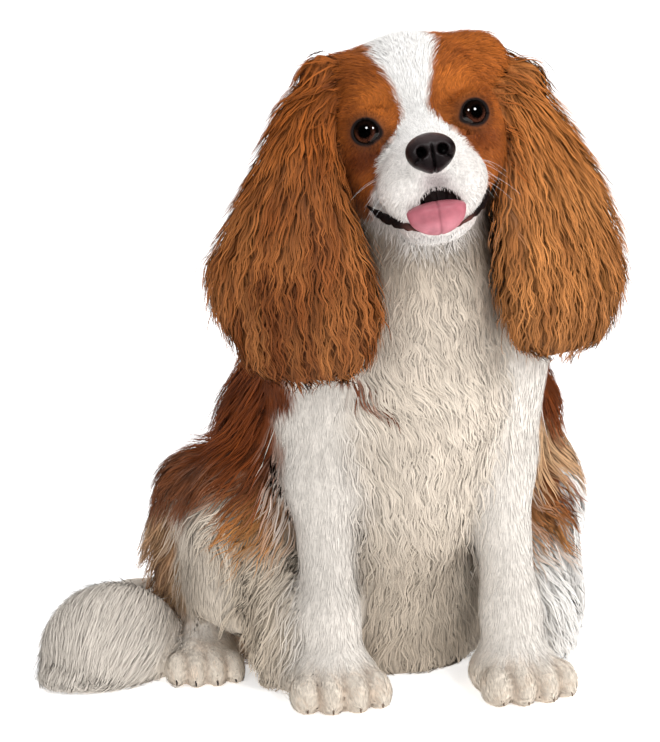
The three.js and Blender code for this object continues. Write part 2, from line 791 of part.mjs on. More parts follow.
const COLOUR_OF = {
  head: "chestnut",
  lower_jaw: "white",
  nose: "nose",
  lips: "lip",
  tongue: "tongue",
  eye_left: "eye",
  eye_right: "eye",
  neck: "white",
  torso: "chestnut",
  chest: "white",
  foreleg_left: "white",
  foreleg_right: "white",
  forepaw_left: "white",
  forepaw_right: "white",
  thigh_left: "chestnut",
  thigh_right: "chestnut",
  hindpaw_left: "white",
  hindpaw_right: "white",
  tail: "white",
  ear_left: "ear",
  ear_right: "ear",
};

const finished = new Map();
const rooms = [];
const shells = [];

// Adds a part cut clear of the floor and of every part before it, and keeps its largest closed surface.
function place(name, { solid, room, shell = room }, against = rooms) {
  const free = solid.subtract(wasm.Manifold.union([belowFloor, ...against]));
  const [largest] = free.decompose().sort((a, b) => b.volume() - a.volume());
  finished.set(name, largest);
  rooms.push(room);
  shells.push(shell);
}

const NOSTRIL = new THREE.CylinderGeometry(1.7, 2.4, 9, 6);
function nostrils(solid) {
  return [LEFT, RIGHT].reduce((left, side) => {
    const local = new THREE.Matrix4()
      .makeRotationFromEuler(new THREE.Euler(degrees(8), 0, degrees(side * 26), "ZXY"))
      .setPosition(side * 7.2, -93, -20);
    return left.subtract(geometrySolid(NOSTRIL, headFrame.clone().multiply(local)));
  }, solid);
}

place("eye_left", eyePart(LEFT));
place("eye_right", eyePart(RIGHT));
place("tongue", tonguePart);
place("lips", lipPart);
place("nose", { ...nosePart, solid: nostrils(nosePart.solid) });
rooms.push(mouthHollow);
place("head", {
  ...headPart,
  solid: wasm.Manifold.union([headPart.solid, lids(LEFT), lids(RIGHT)]),
});
place("lower_jaw", jawPart);
[LEFT, RIGHT].forEach((side) => {
  const hand = side === LEFT ? "left" : "right";
  place(`forepaw_${hand}`, forepawPart(side));
  place(`foreleg_${hand}`, forelegPart(side));
  place(`hindpaw_${hand}`, hindpawPart(side));
  place(`thigh_${hand}`, thighPart(side));
});
place("chest", chestPart);
place("torso", torsoPart);
place("neck", neckPart);
place("tail", tailPart, shells);
place("ear_left", earPart(LEFT), shells);
place("ear_right", earPart(RIGHT), shells);

const dog = new THREE.Group();
finished.forEach((solid, name) => {
  const { vertProperties, triVerts, numProp } = solid.getMesh();
  const positions = new Float32Array((vertProperties.length / numProp) * 3);
  for (let i = 0; i * numProp < vertProperties.length; i += 1)
    positions.set(vertProperties.slice(i * numProp, i * numProp + 3), i * 3);
  const geometry = new THREE.BufferGeometry();
  geometry.setAttribute("position", new THREE.BufferAttribute(positions, 3));
  geometry.setIndex(new THREE.BufferAttribute(triVerts, 1));
  geometry.computeVertexNormals();
  const material = new THREE.MeshStandardMaterial({
    color: COLOURS[COLOUR_OF[name]],
    roughness: 0.8,
    metalness: 0,
  });
  const mesh = new THREE.Mesh(geometry, material);
  mesh.name = name;
  dog.add(mesh);
});

export default dog;
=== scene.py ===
"""Looks of the sitting spaniel: skin, coat, eyes, nose, tongue, claws, light and camera.

Forms are worked out in millimetres in the frame of the solids (+Z up, the dog faces -Y, its left is +X)
and turned into metres when a mesh is made.
"""

import math

import bpy
import numpy as np
from mathutils import Matrix, Vector


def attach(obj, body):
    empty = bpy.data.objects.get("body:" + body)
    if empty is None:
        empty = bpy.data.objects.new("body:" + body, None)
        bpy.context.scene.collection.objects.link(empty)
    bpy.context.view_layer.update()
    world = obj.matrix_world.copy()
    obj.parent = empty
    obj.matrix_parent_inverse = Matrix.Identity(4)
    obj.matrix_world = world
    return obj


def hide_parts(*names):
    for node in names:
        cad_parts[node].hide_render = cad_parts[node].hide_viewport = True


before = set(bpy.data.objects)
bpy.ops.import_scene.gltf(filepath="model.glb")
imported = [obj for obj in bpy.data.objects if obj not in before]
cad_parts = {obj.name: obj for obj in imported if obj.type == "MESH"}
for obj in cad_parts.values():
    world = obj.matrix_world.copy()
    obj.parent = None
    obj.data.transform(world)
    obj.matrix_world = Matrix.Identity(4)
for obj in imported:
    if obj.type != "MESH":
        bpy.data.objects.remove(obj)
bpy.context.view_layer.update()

MM = 0.001
RIGHT = -1
LEFT = 1
SIDES = (LEFT, RIGHT)
LABELS = {LEFT: "left", RIGHT: "right"}
BODY = "root"

# Driving sizes, the same as the solids'
HEAD_AT = (-4, -104, 361)
HEAD_TURN = {"yaw": -14, "pitch": -8, "roll": -10}
EYE_RADIUS = 12.5
EYE_AT = (30, -41, 2)
LEG_SIDE = 59
ELBOW_HEIGHT = 140
WRIST_HEIGHT = 50
PAW = {"width": 35, "length": 38, "height": 27}
HIND_PAW = {"width": 28, "length": 34, "height": 24}
PAW_FRONT = {LEFT: -134, RIGHT: -116}
HIND_PAW_AT = {LEFT: (104, -42), RIGHT: (131, -50)}
KNEE_SIDE = {LEFT: 99, RIGHT: 84}
TOE_SIDES = (-0.66, -0.24, 0.24, 0.66)
EAR_TURN = 30
EAR_STATIONS = {
    RIGHT: [
        ((-62, -96, 388), 18, 14),
        ((-73, -104, 375), 21, 17),
        ((-84, -119, 347), 27, 20),
        ((-92, -127, 316), 38, 24),
        ((-96, -131, 282), 54, 27),
        ((-92, -134, 256), 55, 27),
        ((-88, -138, 233), 43, 22),
    ],
    LEFT: [
        ((44, -96, 400), 14, 14),
        ((59, -102, 388), 24, 17),
        ((71, -113, 360), 37, 20),
        ((82, -122, 323), 50, 24),
        ((88, -127, 288), 57, 27),
        ((89, -131, 259), 57, 27),
        ((87, -135, 241), 48, 22),
    ],
}
TAIL_ROUTE = [(-25, 84, 34), (-95, 92, 20), (-160, 52, 18), (-186, 0, 21), (-200, -34, 18)]


def srgb(text):
    """A linear colour from a six-digit sRGB code."""
    value = np.array([int(text[i : i + 2], 16) / 255 for i in (0, 2, 4)])
    return np.where(value <= 0.04045, value / 12.92, ((value + 0.055) / 1.055) ** 2.4)


# Forms as signed distances in millimetres: negative inside, for many points at once


def length_of(v):
    return np.sqrt(np.einsum("...i,...i->...", v, v))


def unit(v):
    return v / np.maximum(length_of(v), 1e-9)[..., None]


def egg(at, radii, lean=0):
    """An ellipsoid, tipped forward by lean degrees."""
    at = np.array(at, np.float32)
    radii = np.array(radii, np.float32)
    c, s = math.cos(math.radians(lean)), math.sin(math.radians(lean))
    turn = np.array(((1, 0, 0), (0, c, s), (0, -s, c)), np.float32)

    def distance(p):
        q = ((p - at) @ turn.T if lean else p - at) / radii
        near = length_of(q)
        return near * (near - 1) / np.maximum(length_of(q / radii), 1e-6)

    return distance


def both(at, radii):
    """An ellipsoid and its mirror image on the other side."""
    x, y, z = at
    return egg(at, radii), egg((-x, y, z), radii)


def limb(start, r1, end, r2):
    """A cone with round ends."""
    a = np.array(start, np.float32)
    ba = np.array(end, np.float32) - a
    length2 = float(ba @ ba)
    rr = r1 - r2
    a2 = length2 - rr * rr

    def distance(p):
        pa = p - a
        y = pa @ ba
        z = y - length2
        x = pa * length2 - y[..., None] * ba
        x2 = np.einsum("...i,...i->...", x, x)
        y2 = y * y * length2
        z2 = z * z * length2
        k = np.sign(rr) * rr * rr * x2
        side = (np.sqrt(x2 * a2 / length2) + y * rr) / length2 - r1
        side = np.where(np.sign(y) * a2 * y2 < k, np.sqrt(x2 + y2) / length2 - r1, side)
        return np.where(np.sign(z) * a2 * z2 > k, np.sqrt(x2 + z2) / length2 - r2, side)

    return distance


def smooth_min(a, b, k):
    h = np.maximum(k - np.abs(a - b), 0) / k
    return np.minimum(a, b) - h * h * k / 4


def smooth_max(a, b, k):
    return -smooth_min(-a, -b, k)


def ramp(x, low, high):
    """From 0 at low to 1 at high, smoothly."""
    t = np.clip((x - low) / (high - low), 0, 1)
    return t * t * (3 - 2 * t)


def fade(x, low, high):
    """From 1 at low to 0 at high, smoothly."""
    return 1 - ramp(x, low, high)


def peak(x, at, width):
    """One at a place, falling off to both sides of it."""
    return np.exp(-(((x - at) / width) ** 2))


def blend(k, *shapes):
    def distance(p):
        d = shapes[0](p)
        for shape in shapes[1:]:
            d = smooth_min(d, shape(p), k)
        return d

    return distance


def turn_matrix(pitch, roll, yaw):
    """The same order of turns as the solids use: yaw, then pitch, then roll."""
    turns = [Matrix.Rotation(math.radians(t), 3, a) for t, a in ((yaw, "Z"), (pitch, "X"), (roll, "Y"))]
    return np.array(turns[0] @ turns[1] @ turns[2], np.float32)


HEAD_AXES = turn_matrix(HEAD_TURN["pitch"], HEAD_TURN["roll"], HEAD_TURN["yaw"])
HEAD_ORIGIN = np.array(HEAD_AT, np.float32)


def to_head(p):
    return (p - HEAD_ORIGIN) @ HEAD_AXES


def from_head(p):
    return np.asarray(p, np.float32) @ HEAD_AXES.T + HEAD_ORIGIN


def in_head(shape):
    return lambda p: shape(to_head(p))


EX, EY, EZ = EYE_AT
skull_form = blend(
    14,
    egg((0, 12, 15), (52, 56, 48)),
    egg((0, -18, 24), (42, 30, 32)),
    *both((42, 8, 36), (24, 28, 20)),
    *both((27, -20, -14), (26, 30, 32)),
    *both((EX, -32, 3), (19, 15, 17)),
)
muzzle_form = blend(
    8,
    egg((0, -58, -22), (23, 30, 17)),
    *both((16, -58, -34), (18, 25, 19)),
    egg((0, -36, -14), (28, 28, 22)),
)
head_form = in_head(blend(10, skull_form, muzzle_form))
jaw_form = in_head(blend(8, egg((0, -50, -56), (24, 28, 15)), egg((0, -20, -44), (34, 34, 22))))
neck_form = blend(
    26, limb((0, -68, 250), 66, (-3, -96, 334), 50), egg((0, -112, 262), (50, 44, 62))
)
ear_root_form = limb((40, -92, 400), 8, (69, -104, 392), 10)
ruff_form = blend(12, egg((48, -94, 314), (20, 26, 34)), egg((-52, -94, 306), (18, 26, 32)))
torso_form = blend(
    30,
    egg((0, 28, 76), (110, 88, 86)),
    limb((0, 34, 116), 99, (8, -22, 172), 99),
    egg((8, -26, 160), (121, 84, 72)),
    limb((0, -40, 205), 84, (0, -58, 272), 58),
    egg((0, -46, 44), (88, 50, 70)),
)
chest_form = blend(
    26,
    egg((0, -98, 206), (64, 56, 78)),
    egg((0, -88, 124), (50, 46, 60)),
    egg((0, -70, 46), (60, 40, 70)),
)


def foreleg_form(side):
    x = side * LEG_SIDE
    wrist = (x, PAW_FRONT[side] + 12, WRIST_HEIGHT)
    return blend(
        18,
        egg((side * 60, -84, 226), (34, 44, 62)),
        limb((x, -88, 215), 31, (x, -92, ELBOW_HEIGHT), 24),
        limb((x, -92, ELBOW_HEIGHT), 23, wrist, 17.5),
        limb(wrist, 17.5, (x, PAW_FRONT[side] + 4, 18), 23),
    )


def paw_places(side):
    """The place, size and turn of the fore and the hind paw of a side."""
    x, y = HIND_PAW_AT[side]
    return (side * LEG_SIDE, PAW_FRONT[side], PAW, -4 * side), (side * x, y, HIND_PAW, -8 * side)


def paw_frame(x, y, turn):
    """From a paw's own axes to the body's."""
    c, s = math.cos(math.radians(turn)), math.sin(math.radians(turn))
    return lambda u, v: (x + c * u + s * v, y + c * v - s * u)


def paw_form(x, y, paw, turn):
    """A low dome with four toes along its front edge, parted by furrows."""
    width, length, height = paw["width"], paw["length"], paw["height"]
    on_paw = paw_frame(x, y, turn)
    toes = []
    for t in TOE_SIDES:
        tx, ty = on_paw(t * width, -length * (0.72 - 0.28 * abs(t)))
        toes.append(egg((tx, ty, height * 0.34), (width * 0.3, length * 0.4, height * 0.52)))
    dome = egg((x, y, height * 0.36), (width * 0.94, length * 0.9, height * 0.72))
    front = blend(2.5, *toes)
    return lambda p: smooth_min(dome(p) + 1.5, front(p), 5)


def forepaw_form(side):
    return paw_form(*paw_places(side)[0])


def thigh_form(side):
    return blend(
        22,
        egg((side * 100, 22, 82), (52, 62, 46)),
        egg((side * 110, 16, 112), (36, 48, 26)),
        egg((side * 97, 10, 46), (58, 66, 50)),
        egg((side * 100, -46, 102), (42, 42, 56)),
        egg((side * 96, -54, 46), (44, 44, 50)),
        egg((side * KNEE_SIDE[side], -82, 28), (30, 32, 40)),
    )


def seated_thigh(side):
    """The thigh with a hollow round the paw and a crease behind the knee's feathering."""
    x, y = HIND_PAW_AT[side]
    thigh = thigh_form(side)
    hollow = egg((side * (x - 2), y - 16, 6), (31, 36, 29))
    crease = limb((side * 113, -86, 104), 1.5, (side * 113, -94, 36), 3.5)
    return lambda p: smooth_max(smooth_max(thigh(p), -hollow(p), 8), -crease(p), 9)


def hindpaw_form(side):
    x, y = HIND_PAW_AT[side]
    hock = limb((side * (x - 14), y + 62, 16), 18, (side * (x - 4), y + 14, 14), 18)
    return blend(8, hock, paw_form(*paw_places(side)[1]))


tail_form = blend(
    16,
    limb(TAIL_ROUTE[0], 21, TAIL_ROUTE[1], 20),
    limb(TAIL_ROUTE[1], 20, TAIL_ROUTE[2], 21),
    limb(TAIL_ROUTE[2], 21, TAIL_ROUTE[3], 28),
    egg((-188, -30, 12), (55, 45, 54)),
    egg((-212, -50, 5), (34, 27, 13)),
)


TAIL_INSET = 9


def ear_axes(side):
    """Axes across, through and along an ear, as rows."""
    turn = math.radians(EAR_TURN)
    across = np.array((math.cos(turn), side * math.sin(turn), 0), np.float32)
    return np.array((across, (-across[1], across[0], 0), (0, 0, 1)), np.float32)


def ear_middle(side, z):
    """The ear's middle line, half width and half depth at each height."""
    stations = EAR_STATIONS[side][::-1]
    heights = [at[2] for at, _, _ in stations]
    rows = [[at[0] for at, _, _ in stations], [at[1] for at, _, _ in stations]]
    rows += [[w for _, w, _ in stations], [d for _, _, d in stations]]
    return [np.interp(z, heights, row).astype(np.float32) for row in rows]


EAR_CAP = 20
EAR_INSET = 9


def ear_ends(side):
    """The heights of the ear's top and low end."""
    return EAR_STATIONS[side][0][0][2], EAR_STATIONS[side][-1][0][2]


def ear_bell(side):
    """The bell of the ear, inset from the solid's surface, rounded off at both ends."""
    axes = ear_axes(side)
    top, low = ear_ends(side)

    def distance(p):
        z = p[..., 2]
        x, y, wide, deep = ear_middle(side, z)
        past = np.maximum(np.maximum(low - z, z - top), 0) / EAR_CAP
        rounding = np.sqrt(np.maximum(1 - past * past, 0.03))
        slim = EAR_INSET * np.interp(z, (low, low + 60, top), (1.1, 1, 0.5))
        flat = np.stack([p[..., 0] - x, p[..., 1] - y], -1) @ axes[:2, :2].T
        outer = np.clip(0.55 + 0.45 * side * flat[..., 0] / wide, 0.1, 1)
        wide = np.maximum(wide * rounding - slim * outer, 2)
        deep = np.maximum(deep * rounding - slim * 0.7, 2)
        q = flat / np.stack([wide, deep], -1)
        near = length_of(q)
        side_way = near * (near - 1) / np.maximum(np.hypot(q[..., 0] / wide, q[..., 1] / deep), 1e-6)
        beyond = np.maximum(low - z, z - top) - EAR_CAP * 0.98
        return np.maximum(side_way, beyond) * 0.9

    return distance


def ear_form(side):
    """The ear, and on the left also the root by which it stands off the head."""
    return blend(10, ear_bell(side), ear_root_form) if side == LEFT else ear_bell(side)


PARTS = {
    "head": head_form,
    "jaw": jaw_form,
    "neck": blend(14, neck_form, ruff_form),
    "torso": torso_form,
    "chest": chest_form,
}
PAIRED = {
    "foreleg": foreleg_form,
    "forepaw": forepaw_form,
    "thigh": seated_thigh,
    "hindpaw": hindpaw_form,
    "ear": ear_form,
}
PARTS |= {f"{kind}_{LABELS[side]}": form(side) for kind, form in PAIRED.items() for side in SIDES}
PARTS["tail"] = lambda p: tail_form(p) + TAIL_INSET
PART_NAMES = list(PARTS)
# How far the skin lies inside the coat's surface
COAT_DEPTHS = {
    "head": 1.6, "jaw": 1.5, "neck": 6, "torso": 4, "chest": 7,
    "foreleg": 2, "forepaw": 1.2, "thigh": 5, "hindpaw": 1.2,
}  # fmt: skip
DEPTHS = {name: COAT_DEPTHS.get(name.split("_")[0], 0) for name in PARTS}

# Eyes, lids and mouth, in the head's own frame


def eye_look(side):
    return unit(np.array((side * 0.3, -0.95, 0.02), np.float32))


def eye_frame(side):
    """Axes across, along the look and up of an eye, as rows."""
    look = eye_look(side)
    across = unit(np.cross(look, (0, 0, 1)) * -1).astype(np.float32)
    return np.array((across, look, np.cross(across, look) * -1), np.float32)


LID_OPENING = (8.5, 7.9)
LID_THICKNESS = 0.9
LID_RIM = 0.42
INNER_CORNER = 0.16


def eye_local(p, side):
    """From the body's axes to an eye's own."""
    at = np.array((side * EX, EY, EZ), np.float32)
    return (to_head(p) - at) @ eye_frame(side).T


def from_eye_local(q, side):
    """From an eye's own axes to the body's."""
    return from_head(q @ eye_frame(side) + np.array((side * EX, EY, EZ), float))


def from_eyes(p):
    """The distance from the middle of the nearer eye."""
    return np.minimum(*(length_of(eye_local(p, side)) for side in SIDES))


def opening_width(across, upward, side):
    """How much the open eye is drawn out towards its inner corner, by direction."""
    turn = np.arctan2(upward, -across * side)
    return 1 + INNER_CORNER * peak(turn, -0.3, 0.38)


def lid_opening(p, side):
    """Below zero inside the almond of the open eye."""
    q = eye_local(p, side)
    wide, high = LID_OPENING
    ring = np.hypot(q[..., 0] / wide, q[..., 2] / high) / opening_width(q[..., 0], q[..., 2], side)
    return np.maximum((ring - 1) * high, -q[..., 1])


def mouth_hollow(p):
    """The open mouth between the flews and the tongue, higher in the middle."""
    q = to_head(p)
    arch = np.stack([0 * q[..., 0], 0 * q[..., 0], -0.028 * q[..., 0] ** 2], -1)
    return egg((0.5, -66, -44.2), (12, 28, 4.7))(q - arch)


def face_details(p, d):
    """Lids, brows, folds under the eyes, the groove under the nose and the mouth, worked into the head."""
    q = to_head(p)
    for side in SIDES:
        e = eye_local(p, side)
        d = smooth_min(d, length_of(e) - EYE_RADIUS - LID_THICKNESS, 6)
        fold = limb((side * 17, -50, -6), 1.0, (side * 38, -38, -13), 1.8)(q)
        d = smooth_max(d, -fold, 9)
        crease = limb((side * 19, -47, 13.5), 0.5, (side * 40, -36, 14), 0.7)(q)
        d = smooth_max(d, -crease, 7)
    groove = limb((0, -90, -28), 0.6, (0, -83, -44), 1.6)(q)
    d = smooth_max(d, -groove, 4)
    return smooth_max(d, -mouth_hollow(p), 1.5)


# The skin's least height above the floor
FLOOR_GAP = 0.4


def skin_form(p, names=None, detail=True):
    """The whole skin, or the skin of the named parts."""
    d = None
    for name in names or PARTS:
        near = PARTS[name](p) + DEPTHS[name]
        k = 3 if name.startswith(("ear", "tail")) else 14
        d = near if d is None else smooth_min(d, near, k)
    if detail:
        d = face_details(p, d)
    return np.maximum(d, FLOOR_GAP - p[..., 2])


def body_form(p):
    """The whole skin without the small forms of the face."""
    return skin_form(p, None, False)


def form_near(points, reach=60):
    """The skin's form with only the parts that come within reach of the points."""
    few = points[:: max(1, len(points) // 500)]
    names = [name for name, form in PARTS.items() if form(few).min() < reach]
    detail = "head" in names and to_head(points)[:, 1].min() < -20
    return lambda p: skin_form(p, names, detail)


def outward(form, p, e=0.4):
    """The way straight out of a form at each point."""
    steps = np.array([(1, -1, -1), (-1, -1, 1), (-1, 1, -1), (1, 1, 1)], np.float32)
    return unit(sum(s * form(p + s * e)[..., None] for s in steps))


def settle(form, p, rounds=3, reach=3.0):
    """Moves points onto the form's surface."""
    for _ in range(rounds):
        p = p - outward(form, p) * np.clip(form(p), -reach, reach)[..., None]
    return p


# A form is read in blocks of cells, and closely only in the blocks that may hold some of its surface
BLOCK = 4
BLOCK_REACH = 1.3
BATCHES = 24


def surface_net(form, low, high, step):
    """A quad mesh of a form: one point in each cell that the surface crosses."""
    cells = [int(math.ceil((b - a) / step / BLOCK)) for a, b in zip(low, high)]
    shape = tuple(n * BLOCK + 1 for n in cells)
    centres = (np.stack(np.meshgrid(*[np.arange(n) for n in cells], indexing="ij"), -1) + 0.5) * step * BLOCK
    rough = form((centres + low).reshape(-1, 3).astype(np.float32)).reshape(cells)
    values = np.where(rough < 0, -1.0, 1.0).astype(np.float32)
    for axis in range(3):
        values = np.repeat(values, BLOCK, axis)
    values = np.pad(values, ((0, 1),) * 3, mode="edge")
    grid = np.arange(BLOCK + 1)
    offsets = np.stack(np.meshgrid(grid, grid, grid, indexing="ij"), -1).reshape(-1, 3)
    near = np.argwhere(np.abs(rough) < step * BLOCK * BLOCK_REACH)
    for batch in np.array_split(near, BATCHES):
        spots = (batch[:, None] * BLOCK + offsets[None]).reshape(-1, 3)
        values[tuple(spots.T)] = form((spots * step + low).astype(np.float32))
    inside = values < 0
    count = np.zeros([n - 1 for n in shape], np.int8)
    for corner in np.ndindex(2, 2, 2):
        count += inside[tuple(slice(c, n - 1 + c) for c, n in zip(corner, shape))]
    active = (count > 0) & (count < 8)
    index = np.full(active.shape, -1)
    index[active] = np.arange(active.sum())
    points = (np.argwhere(active) + 0.5) * step + np.array(low)
    quads = []
    for axis in range(3):
        turned = np.moveaxis(inside, axis, 0)
        cells = np.moveaxis(index, axis, 0)
        a, b = turned[:-1, 1:-1, 1:-1], turned[1:, 1:-1, 1:-1]
        for flip, mask in ((False, a & ~b), (True, ~a & b)):
            i, j, k = np.nonzero(mask)
            ring = [cells[i, j, k], cells[i, j + 1, k], cells[i, j + 1, k + 1], cells[i, j, k + 1]]
            if flip != (axis == 1):
                ring = ring[::-1]
            quads.append(np.stack(ring, -1))
    return points.astype(np.float32), np.concatenate(quads)


# Meshes and attributes


def new_object(name, points, faces):
    """A smooth mesh object from points in millimetres."""
    mesh = bpy.data.meshes.new(name)
    sizes = np.fromiter(map(len, faces), np.int32, len(faces))
    corners = np.concatenate(faces).astype(np.int32)
    mesh.vertices.add(len(points))
    mesh.vertices.foreach_set("co", (np.asarray(points, np.float32) * MM).ravel())
    mesh.loops.add(len(corners))
    mesh.loops.foreach_set("vertex_index", corners)
    mesh.polygons.add(len(sizes))
    mesh.polygons.foreach_set("loop_start", (np.cumsum(sizes) - sizes).astype(np.int32))
    mesh.polygons.foreach_set("loop_total", sizes)
    mesh.update(calc_edges=True)
    mesh.validate()
    mesh.polygons.foreach_set("use_smooth", np.ones(len(mesh.polygons), bool))
    piece = bpy.data.objects.new(name, mesh)
    bpy.context.scene.collection.objects.link(piece)
    return piece


def paint(piece, name, values):
    """A colour for each point of a mesh."""
    layer = piece.data.color_attributes.new(name, "FLOAT_COLOR", "POINT")
    rgba = np.ones((len(values), 4), np.float32)
    rgba[:, : values.shape[1]] = values
    layer.data.foreach_set("color", rgba.ravel())


def map_points(piece, uv):
    """The bake map, given a place for each point."""
    layer = piece.data.uv_layers.new(name="OFBake")
    corners = np.empty(len(piece.data.loops), np.int32)
    piece.data.loops.foreach_get("vertex_index", corners)
    layer.data.foreach_set("uv", uv[corners].astype(np.float32).ravel())


def points_of(piece):
    """The mesh's points in millimetres."""
    co = np.empty(len(piece.data.vertices) * 3, np.float32)
    piece.data.vertices.foreach_get("co", co)
    return co.reshape(-1, 3) / MM


def keep(piece, material, replaced=()):
    """Puts a piece on the body, with its finish and the nodes that it stands for."""
    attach(piece, BODY)
    if replaced:
        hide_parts(*replaced)
    piece.data.materials.clear()
    piece.data.materials.append(material)
    return piece


# Noise and markings


def hash_noise(p, seed):
    n = np.sin(p @ np.array((127.1, 311.7, 74.7)) + seed * 17.3) * 43758.5453
    return n - np.floor(n)


def soft_noise(p, scale, seed=0):
    """Smooth noise from -1 to 1, with features of about scale millimetres."""
    q = np.asarray(p, np.float64) / scale
    cell = np.floor(q)
    f = q - cell
    f = f * f * (3 - 2 * f)
    total = 0
    for corner in np.ndindex(2, 2, 2):
        c = np.array(corner)
        weight = np.prod(np.where(c, f, 1 - f), -1)
        total = total + weight * hash_noise(cell + c, seed)
    return total * 2 - 1


WHITE = srgb("F6F4F1")
BODY_WHITE = srgb("D6C9B9")
CREAM = srgb("DCC6A8")
GREY_WHITE = srgb("9C8D7A")
THROAT_SHADE = srgb("7A6A58")
CHESTNUT = srgb("AA5C22")
DEEP_CHESTNUT = srgb("6E3312")
BODY_BROWN = srgb("8A4416")
DEEP_BROWN = srgb("502108")
TAN = srgb("C48C52")
EAR_BROWN = srgb("8C4B20")
EAR_LIGHT = srgb("C67E44")
RIM_BLACK = srgb("1C1210")
LID_BROWN = srgb("4A2814")
LIP_DARK = srgb("1E1211")
PINK_SKIN = srgb("C9A09C")
# Painted shade in the furrows between the toes
TOE_FURROW_SHADE = srgb("7E5A3C")
PHILTRUM = srgb("8E7A7E")
MUZZLE_SHADE = srgb("C4B4A8")
# Painted shadow inside the open mouth
MOUTH_SHADOW = srgb("1C0A0A")


# Millimetres over which one part's colour and lie pass into the next one's
PART_BLEND = 4


def part_weights(p):
    """How much each point belongs to each part, by its nearness."""
    near = np.stack([form(p) + DEPTHS[name] for name, form in PARTS.items()], -1)
    near -= near.min(-1, keepdims=True)
    w = np.exp(-near / PART_BLEND)
    return w / w.sum(-1, keepdims=True)


def mix(a, b, t):
    """From the colour a at t = 0 to b at t = 1."""
    return a + (b - a) * np.asarray(t)[..., None]


SAND = mix(TAN, CREAM, 0.4)


def blot(p, at, radii, soft=0.25):
    """One inside a rounded patch, fading to nothing at its edge."""
    near = length_of((p - np.array(at)) / np.array(radii))
    return fade(near, 1 - soft, 1 + soft)


BLAZE_HEIGHTS = (-34, -21, -9, -3, 1, 6, 12, 22, 38, 46, 56)
BLAZE_HALF_WIDTHS = (34, 27, 22, 18, 13, 9, 7.8, 8.8, 14.5, 18, 15)


def head_white(q):
    """The blaze, the white muzzle and the chin, in the head's own frame."""
    x, y, z = q[..., 0], q[..., 1], q[..., 2]
    ragged = soft_noise(q, 9, 5) * 2.2
    half = np.interp(z, BLAZE_HEIGHTS, BLAZE_HALF_WIDTHS)
    blaze = fade(np.abs(x + 1) + ragged - half, -2.5, 2.5)
    muzzle = fade(length_of((q - (0, -62, -36)) / (34, 40, 27)) + ragged * 0.02, 0.93, 1.07)
    chin = ramp(-z + ragged, 46, 52) * fade(np.abs(x), 44, 52)
    back = fade(y, 6, 26)
    return np.clip(np.maximum(np.maximum(blaze * back, muzzle), chin), 0, 1)


def head_red(p, q):
    """The chestnut of the head, clouded at random, with painted light on the brows and painted shade under
    the eyes and behind the cheeks.
    """
    side_x = np.stack([np.abs(q[..., 0]), q[..., 1], q[..., 2]], -1)
    deep = 0.28 + 0.3 * soft_noise(p, 12, 8) + 0.16 * soft_noise(p, 4, 9)
    # Painted shade under each eye, in the fold below it
    deep = deep + 0.45 * blot(side_x, (30, -44, -14), (15, 20, 7), 0.6)
    # Painted shade behind the cheeks towards the ears: strong on the right side, away from the light, faint
    # on the left
    deep = deep + np.where(q[..., 0] < 0, 0.4, 0.05) * blot(side_x, (44, -20, -10), (12, 40, 40), 0.6)
    # Painted light on the brows
    deep = deep - 0.5 * blot(side_x, (21, -42, 20), (10, 20, 8), 0.7)
    return mix(CHESTNUT, DEEP_CHESTNUT, np.clip(deep, -0.25, 1))


def from_line(p, start, end):
    """The distance from the straight line between two points."""
    a, b = np.array(start, float), np.array(end, float)
    t = np.clip((p - a) @ (b - a) / ((b - a) @ (b - a)), 0, 1)
    return length_of(p - a - t[..., None] * (b - a))


def toe_furrows(p):
    """One in the furrows between the toes of each paw, where painted shade goes."""
    most = np.zeros(p.shape[:-1])
    for at_x, at_y, paw, turn in paw_places(LEFT) + paw_places(RIGHT):
        c, s = math.cos(math.radians(turn)), math.sin(math.radians(turn))
        dx, dy = p[..., 0] - at_x, p[..., 1] - at_y
        u = (c * dx - s * dy) / paw["width"]
        v = (s * dx + c * dy) / paw["length"]
        on_paw = fade(np.hypot(u, v), 1.1, 1.4) * fade(v, -0.55, -0.25)
        for middle in (-0.45, 0, 0.45):
            most = np.maximum(most, on_paw * peak(u, middle, 0.07))
    return most


def head_colour(p, white):
    """Chestnut with a white blaze and muzzle, painted shade greying the lower face and the flanks of the
    muzzle, dark round the eyes.
    """
    q = to_head(p)
    on_white = head_white(q)
    colour = mix(head_red(p, q), white, on_white)
    # Painted shade greys the white of the lower face and of the flanks of the muzzle.
    flank_of_muzzle = ramp(np.abs(q[..., 0]), 12, 32) * fade(p[..., 2], 352, 372)
    low_face = fade(q[..., 2], -24, 0)
    colour = mix(colour, MUZZLE_SHADE, (0.3 * low_face + 0.12 * flank_of_muzzle) * on_white)
    colour = mix(colour, PINK_SKIN, 0.25 * blot(q, (0, -66, -58), (26, 24, 5), 0.6))
    colour = mix(colour, PHILTRUM, 0.62 * blot(q, (0, -86, -35), (8, 14, 6), 0.7))
    for side in SIDES:
        lined = fade(lid_opening(p, side), 1.0, 5.0) * fade(length_of(eye_local(p, side)), 16, 19)
        colour = mix(colour, LID_BROWN, 0.6 * lined)
    return colour


def ear_colour(p):
    """Brown with lighter locks, chestnut at the root, darker towards the low end; the right ear is painted
    darker as painted shade, the left lighter as painted light.
    """
    x, z = p[..., 0], p[..., 2]
    colour = mix(EAR_BROWN, EAR_LIGHT, np.clip(0.35 + 0.55 * soft_noise(p * (1, 1, 0.35), 9, 4), 0, 1))
    # The right ear, away from the light, is painted darker as painted shade, and the left one lighter as
    # painted light.
    colour = mix(colour, CHESTNUT, 0.85 * ramp(z, 318, 388)) * np.where(x < 0, 0.84, 1.04)[..., None]
    colour = mix(colour, TAN, 0.3 * (x > 0))
    return colour * np.interp(z, (225, 275, 310), (0.72, 0.84, 1))[..., None]


